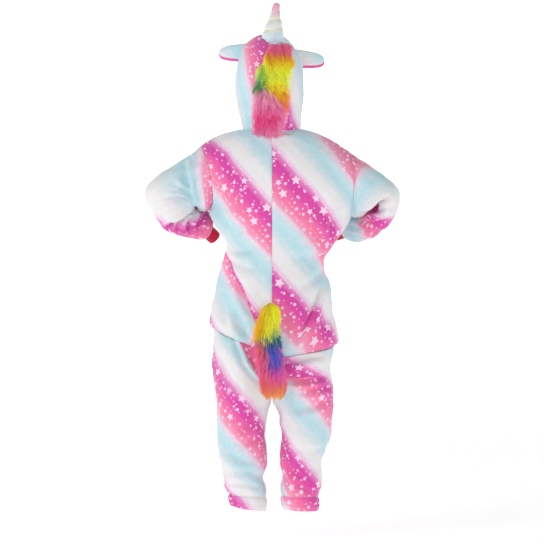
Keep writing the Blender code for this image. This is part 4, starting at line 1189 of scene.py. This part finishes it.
def strands(name, fabric, roots, normals, flows, spans, bands, finish):
    chance = np.random.default_rng(fabric["pileSeed"])
    lift, sag = fabric["lift"], fabric["sag"]
    count, segments, sides = len(roots), fur["segments"], fur["sides"]
    step = (spans / segments)[:, None]
    lean = unit(np.array([0, 0, -1.0]) + 0 * roots)
    path = [roots]
    twist = chance.normal(size=(count, 3)) * fur["curl"]
    for index in range(segments):
        t = index / (segments - 1)
        way = normals * (lift * (1 - t)**1.3 - 0.10 * t) + flows * (1 - sag * t)
        way = way + lean * sag * t + twist * math.sin(2.6 * t + 0.6)
        path.append(path[-1] + unit(way) * step)
    path = np.stack(path, axis=1)
    locks = roots[chance.choice(count, fur["locks"], replace=False)]
    nearest = ((roots[:, None] - locks[None])**2).sum(-1).argmin(1)
    tips = np.zeros((fur["locks"], 3))
    members = np.bincount(nearest, minlength=fur["locks"])[:, None]
    np.add.at(tips, nearest, path[:, -1])
    tips = tips / np.maximum(members, 1)
    pull = (np.linspace(0, 1, segments + 1)**2)[None, :, None] * fur["gather"]
    path = path + (tips[nearest] - path[:, -1])[:, None] * pull
    heading = unit(np.gradient(path, axis=1))
    sideways = unit(np.cross(heading, normals[:, None] + 0 * heading))
    outwards = np.cross(sideways, heading)
    taper = (1 - 0.85 * np.linspace(0, 1, segments + 1)**1.6)[None, :, None]
    width = fur["width"] * chance.uniform(0.7, 1.3, size=(count, 1, 1)) * taper / 2
    rings = []
    for corner in range(sides):
        angle = 2 * math.pi * corner / sides
        rings.append(path + (sideways * math.cos(angle) + outwards * math.sin(angle)) * width)
    points = np.stack(rings, axis=2)                       # strand, ring, corner, xyz
    ringCount = segments + 1
    first = (np.arange(count) * ringCount * sides)[:, None]
    faces = []
    for ring in range(segments):
        for corner in range(sides):
            a, b = ring * sides + corner, ring * sides + (corner + 1) % sides
            faces.append(first + np.array([[a, b, b + sides, a + sides]]))
    faces = np.stack(faces, axis=1).reshape(-1, 4)
    caps = np.concatenate([first + np.array([[2, 1, 0]]),
                           first + segments * sides + np.array([[0, 1, 2]])])
    mesh = bpy.data.meshes.new(name)
    mesh.from_pydata(points.reshape(-1, 3).tolist(), [], faces.tolist() + caps.tolist())
    layer = mesh.uv_layers.new(name="cloth")
    along = np.tile(np.repeat(np.linspace(0, 1, ringCount), sides), count)
    banded = np.repeat(bands, ringCount * sides)
    corners = np.empty(len(mesh.loops), dtype=np.int32)
    mesh.loops.foreach_get("vertex_index", corners)
    layer.data.foreach_set("uv", np.stack([banded[corners], along[corners]], -1).ravel())
    piece = bpy.data.objects.new(name, mesh)
    bpy.context.scene.collection.objects.link(piece)
    finished(piece, finish)


mane = dict(
    count=4300, span=(0.026, 0.044), lift=0.95, sag=0.35, seed=11, pileSeed=21,
    ground=0.004, wall=0.0014,
    # z, middle, half width
    shape=((-0.004, 0.012, 0.022), (0.010, 0.010, 0.031), (0.050, 0.006, 0.035), (0.090, 0.003, 0.033),
           (0.120, 0.002, 0.031), (0.150, -0.002, 0.030), (0.180, -0.012, 0.033), (0.214, -0.014, 0.024)),
    parting=0.014, blend=0.006,          # where the bands of the two sides change over
    apex=0.110, slopes=(0.75, 1.3),      # of the point where two lengths of fur meet
    flank=0.016, flankTop=0.10, flankBand=0.84,
    # highest z, band to the wearer's left and right of the parting
    bands=((0.218, 0.02, 0.04), (0.206, 0.08, 0.08), (0.196, 0.22, 0.12), (0.182, 0.36, 0.30),
           (0.168, 0.46, 0.38), (0.154, 0.54, 0.44), (0.138, 0.60, 0.46), (0.122, 0.68, 0.44),
           (0.105, 0.68, 0.34), (0.090, 0.62, 0.26), (0.075, 0.60, 0.20)),
    # z, how far the pile turns outwards from the parting
    steep=((0.0, 0.20), (0.05, 0.50), (0.09, 1.0), (0.12, 1.2), (0.16, 0.9), (0.19, 0.2)),
    # z, band under the point
    below=((0.110, 0.78), (0.090, 0.82), (0.068, 0.90), (0.050, 1.00), (0.028, 0.97), (0.010, 0.88)),
)
tail = dict(
    count=4400, span=(0.028, 0.050), lift=0.62, sag=0.45, seed=12, pileSeed=22,
    # x, y, z, half width, half reach of the ground cloth
    rows=((0.0010, 0.1165, -0.4230, 0.0030, 0.0040), (0.0060, 0.1200, -0.4370, 0.0085, 0.0085),
          (0.0110, 0.1235, -0.4700, 0.0150, 0.0110), (0.0100, 0.1275, -0.5100, 0.0160, 0.0120),
          (0.0030, 0.1290, -0.5500, 0.0180, 0.0125), (-0.0010, 0.1280, -0.5850, 0.0180, 0.0120),
          (-0.0040, 0.1260, -0.6150, 0.0160, 0.0100), (-0.0060, 0.1250, -0.6380, 0.0080, 0.0060)),
    # z, band down the middle, to the wearer's right and to the left
    bands=((-0.645, 1.00, 1.00, 1.00), (-0.622, 0.96, 0.95, 0.96), (-0.604, 0.89, 0.90, 0.91),
           (-0.584, 0.78, 0.87, 0.88), (-0.552, 0.60, 0.86, 0.86), (-0.524, 0.57, 0.88, 0.80),
           (-0.508, 0.50, 0.94, 0.52), (-0.492, 0.34, 0.10, 0.44), (-0.455, 0.28, 0.12, 0.33),
           (-0.400, 0.24, 0.03, 0.27)),
    edges=((-0.53, -0.80), (-0.50, -0.40)),             # z, where the other flank's band ends
)


def maneBand(x, z, middle, chance):
    onLeft, onRight = tableColumn(mane["bands"], z, 1), tableColumn(mane["bands"], z, 2)
    towards = np.clip((x - mane["parting"]) / mane["blend"] + 0.5, 0, 1)
    band = np.where(chance.uniform(size=len(x)) < towards, onLeft, onRight)
    slope = np.where(x > mane["parting"], *mane["slopes"])
    edge = mane["apex"] - slope * np.abs(x - mane["parting"]) + chance.normal(size=len(x)) * 0.001
    flank = (x < middle - mane["flank"]) & (z < mane["flankTop"])
    under = np.where(flank, mane["flankBand"], tableColumn(mane["below"], z, 1))
    band = np.where(z < edge, under, band)
    return np.clip(band + chance.normal(size=len(x)) * 0.018, 0, 1)


def maneRoots(grid, chance):
    # places on the hood inside the strip of fur, by chance but as many to each area
    x, y, z = grid[..., 0], grid[..., 1], grid[..., 2]
    offset = (x - tableColumn(mane["shape"], z, 1)) / tableColumn(mane["shape"], z, 2)
    rows, columns = np.nonzero((np.abs(offset) < 0.86) & (y > 0.02) & (z < 0.213) & (z > -0.001))
    area = (np.linalg.norm(np.gradient(grid, axis=0), axis=-1)
            * np.linalg.norm(np.gradient(grid, axis=1), axis=-1))
    weight = area[rows, columns]
    picked = chance.choice(len(rows), mane["count"], p=weight / weight.sum())
    return rows[picked], columns[picked]


def maneGround(grid, normals):
    # a strip over the hood's centre seam
    low = min(mane["shape"])[0] + 0.004
    strip = []
    for z in low + (0.204 - low) * closerAtEdges(46, 0.2):
        middle, half = tableColumn(mane["shape"], z, 1), tableColumn(mane["shape"], z, 2) * 0.92
        line = []
        for share in np.linspace(-1, 1, 25):
            want = np.array([middle + half * share, z])
            near = ((grid[..., (0, 2)] - want)**2).sum(-1) + (grid[..., 1] < 0.02)
            spot = np.unravel_index(near.argmin(), near.shape)
            line.append(grid[spot] + normals[spot] * (cloth["wall"] + mane["ground"] * (1 - share**4)))
        strip.append(line)
    strip = np.array(strip)
    for turn in range(3):
        strip[1:-1, 1:-1] = (strip[:-2, 1:-1] + strip[2:, 1:-1] + strip[1:-1, :-2] + strip[1:-1, 2:]) / 4
    return strip


def makeMane():
    chance = np.random.default_rng(mane["seed"])
    grid = np.concatenate([hoods[right][:, ::-1], hoods[left]], axis=1)
    normals = gridNormals(grid, hoodHeart)[0]
    rows, columns = maneRoots(grid, chance)
    roots, out = grid[rows, columns], normals[rows, columns]
    middles = tableColumn(mane["shape"], roots[:, 2], 1)
    downhill = -unit(np.gradient(grid, axis=0))[rows, columns]
    roots = roots + chance.normal(size=roots.shape) * 0.0012 + out * 0.002
    parted = np.clip((roots[:, 0] - mane["parting"]) / 0.010, -1, 1)
    steep = tableColumn(mane["steep"], roots[:, 2], 1)
    outwards = (parted * steep)[:, None] * np.array([1.0, 0, 0])
    flows = unit(downhill + outwards + chance.normal(size=roots.shape) * 0.12)
    bands = maneBand(roots[:, 0], roots[:, 2], middles, chance)
    spans = chance.uniform(*mane["span"], size=len(roots))
    finish = furFinish("mane_fur", maneBands)
    strands("mane_pile", mane, roots, out, flows, spans, bands, finish)

    def ground(points):
        x, z = points[..., 0].ravel(), points[..., 2].ravel()
        shade = maneBand(x, z, tableColumn(mane["shape"], z, 1), chance).reshape(points.shape[:2])
        # v of 0.35 gives the ground cloth part of the fur's painted root shade
        return np.stack([shade, 0.35 + 0 * shade], -1)

    sewn("mane", maneGround(grid, normals), hoodHeart, ground, finish, edges=(0, 0, 0, 0),
         wall=mane["wall"])


def tailBand(x, z, middle, chance):
    centre, flank, other = (tableColumn(tail["bands"], z, number) for number in (1, 2, 3))
    place = (x - middle) / 0.020
    jitter = chance.normal(size=len(x)) * 0.16
    inner = tableColumn(tail["edges"], z, 1)
    band = np.where(place + jitter > 0.18, flank, np.where(place + jitter < inner, other, centre))
    return np.clip(band + chance.normal(size=len(x)) * 0.012, 0, 1)


def makeTail():
    chance = np.random.default_rng(tail["seed"])
    at = chance.uniform(0, len(tail["rows"]) - 1.02, size=tail["count"])
    values = flowing(tail["rows"], at)
    angle = chance.uniform(-0.25, 1.25, size=tail["count"]) * math.pi
    out = np.stack([np.cos(angle), np.sin(angle), 0 * angle], -1)
    roots = values[:, :3] + out * np.stack([values[:, 3], values[:, 4], 0 * angle], -1)
    flows = unit(np.array([0, 0, -1.0]) + out * np.array([0.22, 0.1, 0])
                 + chance.normal(size=roots.shape) * 0.10)
    bands = tailBand(roots[:, 0], roots[:, 2], values[:, 0], chance)
    spans = chance.uniform(*tail["span"], size=len(roots)) * np.clip((roots[:, 2] + 0.70) / 0.09, 0.45, 1)
    finish = furFinish("tail_fur", tailBands)
    strands("tail_pile", tail, roots, out, flows, spans, bands, finish)
    at = np.linspace(0, len(tail["rows"]) - 1, 40)
    values = flowing(tail["rows"], at)
    angle = np.linspace(0, 2 * math.pi, 28, endpoint=False)[None, :]
    points = values[:, None, :3] + np.stack([values[:, 3:4] * np.cos(angle), values[:, 4:5] * np.sin(angle),
                                             0 * values[:, 3:4] * angle], -1)
    loop = np.concatenate([points, points[:, :1]], axis=1)
    shade = tailBand(loop[..., 0].ravel(), loop[..., 2].ravel(),
                     np.repeat(values[:, 0], loop.shape[1]), chance).reshape(loop.shape[:2])
    # v of 0.35 gives the core part of the fur's painted root shade
    piece = meshFrom("tail_core", points, 1, np.stack([shade, 0.35 + 0 * shade], -1), closed=True)
    closeEnds(piece)
    finished(piece, finish, "tail")


makeMane()
makeTail()
print("mane and tail made")

# the zip, with its teeth

tapeFinish = hardFinish("zip_tape", light(236, 234, 240), 0.0, 0.6)
metalFinish = hardFinish("zip_metal", light(205, 206, 212), 1.0, 0.22)
teethFinish = hardFinish("zip_teeth", light(232, 232, 238), 0.0, 0.3)
zipper = dict(
    tape=0.015, wall=0.0011, half=0.0008, behind=0.0031, fall=0.0012,
    tooth=(0.0024, 0.0016, 0.0015), rounded=0.00035, pitch=0.0028, aside=0.0009, proud=0.0006, end=0.004,
)


def zipLine():
    # the centre edge of the front, from the neck to the foot of the zip
    edge = panels[left, front][:, 0]
    return edge[(edge[:, 2] < neck["frontZ"] + 0.0005) & (edge[:, 2] > zipFoot)]


def makeZip():
    line = zipLine()
    shares = np.linspace(0, 1, 7)[None, :, None]
    for side in (left, right):
        near = line * np.array([0, 1, 1]) + np.array([side * zipper["half"], zipper["behind"], 0])
        far = near + np.array([side * zipper["tape"], zipper["fall"], 0])
        points = near[:, None] * (1 - shares) + far[:, None] * shares
        sewn("zip_tape_" + sideNames[side], points, points + np.array([0, 1.0, 0]), pattern(), tapeFinish,
             edges=(0, 0, 0, 0), wall=zipper["wall"])
    bpy.ops.object.select_all(action="DESELECT")
    bpy.ops.mesh.primitive_cube_add(size=1, location=(0, 0, 0))
    tooth = bpy.context.object
    tooth.scale = zipper["tooth"]
    bpy.ops.object.transform_apply(location=False, rotation=False, scale=True)
    rounding = tooth.modifiers.new("rounding", "BEVEL")
    rounding.width, rounding.segments = zipper["rounded"], 1
    applyModifiers(tooth)
    run = lengths(line[:, None], 0)[:, 0]
    teeth = []
    places = np.arange(zipper["pitch"], run[-1] - zipper["end"], zipper["pitch"] / 2)
    for index, place in enumerate(places):
        side = left if index % 2 else right
        y = np.interp(place, run, line[:, 1]) + zipper["behind"] - zipper["proud"]
        z = np.interp(place, run, line[:, 2])
        copy = tooth.copy()
        copy.data = tooth.data.copy()
        copy.location = (side * zipper["aside"], y, z)
        bpy.context.scene.collection.objects.link(copy)
        teeth.append(copy)
    bpy.ops.object.select_all(action="DESELECT")
    for copy in teeth:
        copy.select_set(True)
    bpy.context.view_layer.objects.active = teeth[0]
    bpy.ops.object.join()
    bpy.ops.object.transform_apply(location=True, rotation=True, scale=True)
    joined = bpy.context.object
    joined.name = "zip_teeth"
    bpy.data.objects.remove(tooth, do_unlink=True)
    finished(joined, teethFinish)
    for node in ("zip_slider", "zip_pull"):
        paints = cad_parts[node].data.materials
        paints.clear()
        paints.append(metalFinish)


makeZip()
print("zip made")

# floor, light and camera

stage = dict(
    floor=-1.015, floorSize=16, floorGlow=0.49, wall=9.0, height=8.0, sky=0.03,
    centre=-0.3475, distance=4.8, view=1.36, sensor=36.0,
    # place, size, power
    lamps=dict(key=((2.6, 1.9, 1.5), 0.9, 22), fill=((-2.8, 2.6, 0.2), 2.4, 3),
               front=((1.2, -2.2, 1.6), 2.0, 8), top=((0, 0.6, 2.2), 1.6, 7)),
)


def placed(name, data, place):
    holder = bpy.data.objects.new(name, data)
    bpy.context.scene.collection.objects.link(holder)
    holder.location = place
    return holder


def makeStage():
    bpy.ops.object.select_all(action="DESELECT")
    bpy.ops.mesh.primitive_plane_add(size=stage["floorSize"], location=(0, 0, stage["floor"]))
    floor = bpy.context.object
    floor.name = "floor"
    paint = Finish("floor_paint", Roughness=0.9, Base_Color=(0.96, 0.96, 0.96, 1),
                   Emission_Color=(1, 1, 1, 1), Emission_Strength=stage["floorGlow"])
    floor.data.materials.append(paint.material)
    # a bright wall all round, far off
    bpy.ops.mesh.primitive_cylinder_add(vertices=64, radius=stage["wall"], depth=stage["height"],
                                        end_fill_type="NOTHING", location=(0, 0, stage["centre"]))
    wall = bpy.context.object
    wall.name = "wall"
    glow = Finish("wall_glow", Roughness=1.0, Emission_Color=(1, 1, 1, 1), Emission_Strength=1.0)
    wall.data.materials.append(glow.material)
    world = bpy.data.worlds.new("studio")
    bpy.context.scene.world = world
    world.use_nodes = True
    sky = world.node_tree.nodes["Background"].inputs
    sky["Color"].default_value = (1, 1, 1, 1)
    sky["Strength"].default_value = stage["sky"]
    for name, (place, size, power) in stage["lamps"].items():
        lamp = bpy.data.lights.new(name, "AREA")
        lamp.size, lamp.energy = size, power
        towards = Vector((0, 0, stage["centre"])) - Vector(place)
        placed(name, lamp, place).rotation_euler = towards.to_track_quat("-Z", "Y").to_euler()
    camera = bpy.data.cameras.new("camera")
    camera.sensor_width = stage["sensor"]
    camera.lens = stage["sensor"] * stage["distance"] / stage["view"]
    holder = placed("camera", camera, (0, stage["distance"], stage["centre"]))
    holder.rotation_euler = (math.pi / 2, 0, math.pi)
    bpy.context.scene.camera = holder
    bpy.context.scene.view_settings.view_transform = "Standard"


makeStage()
print("stage made")
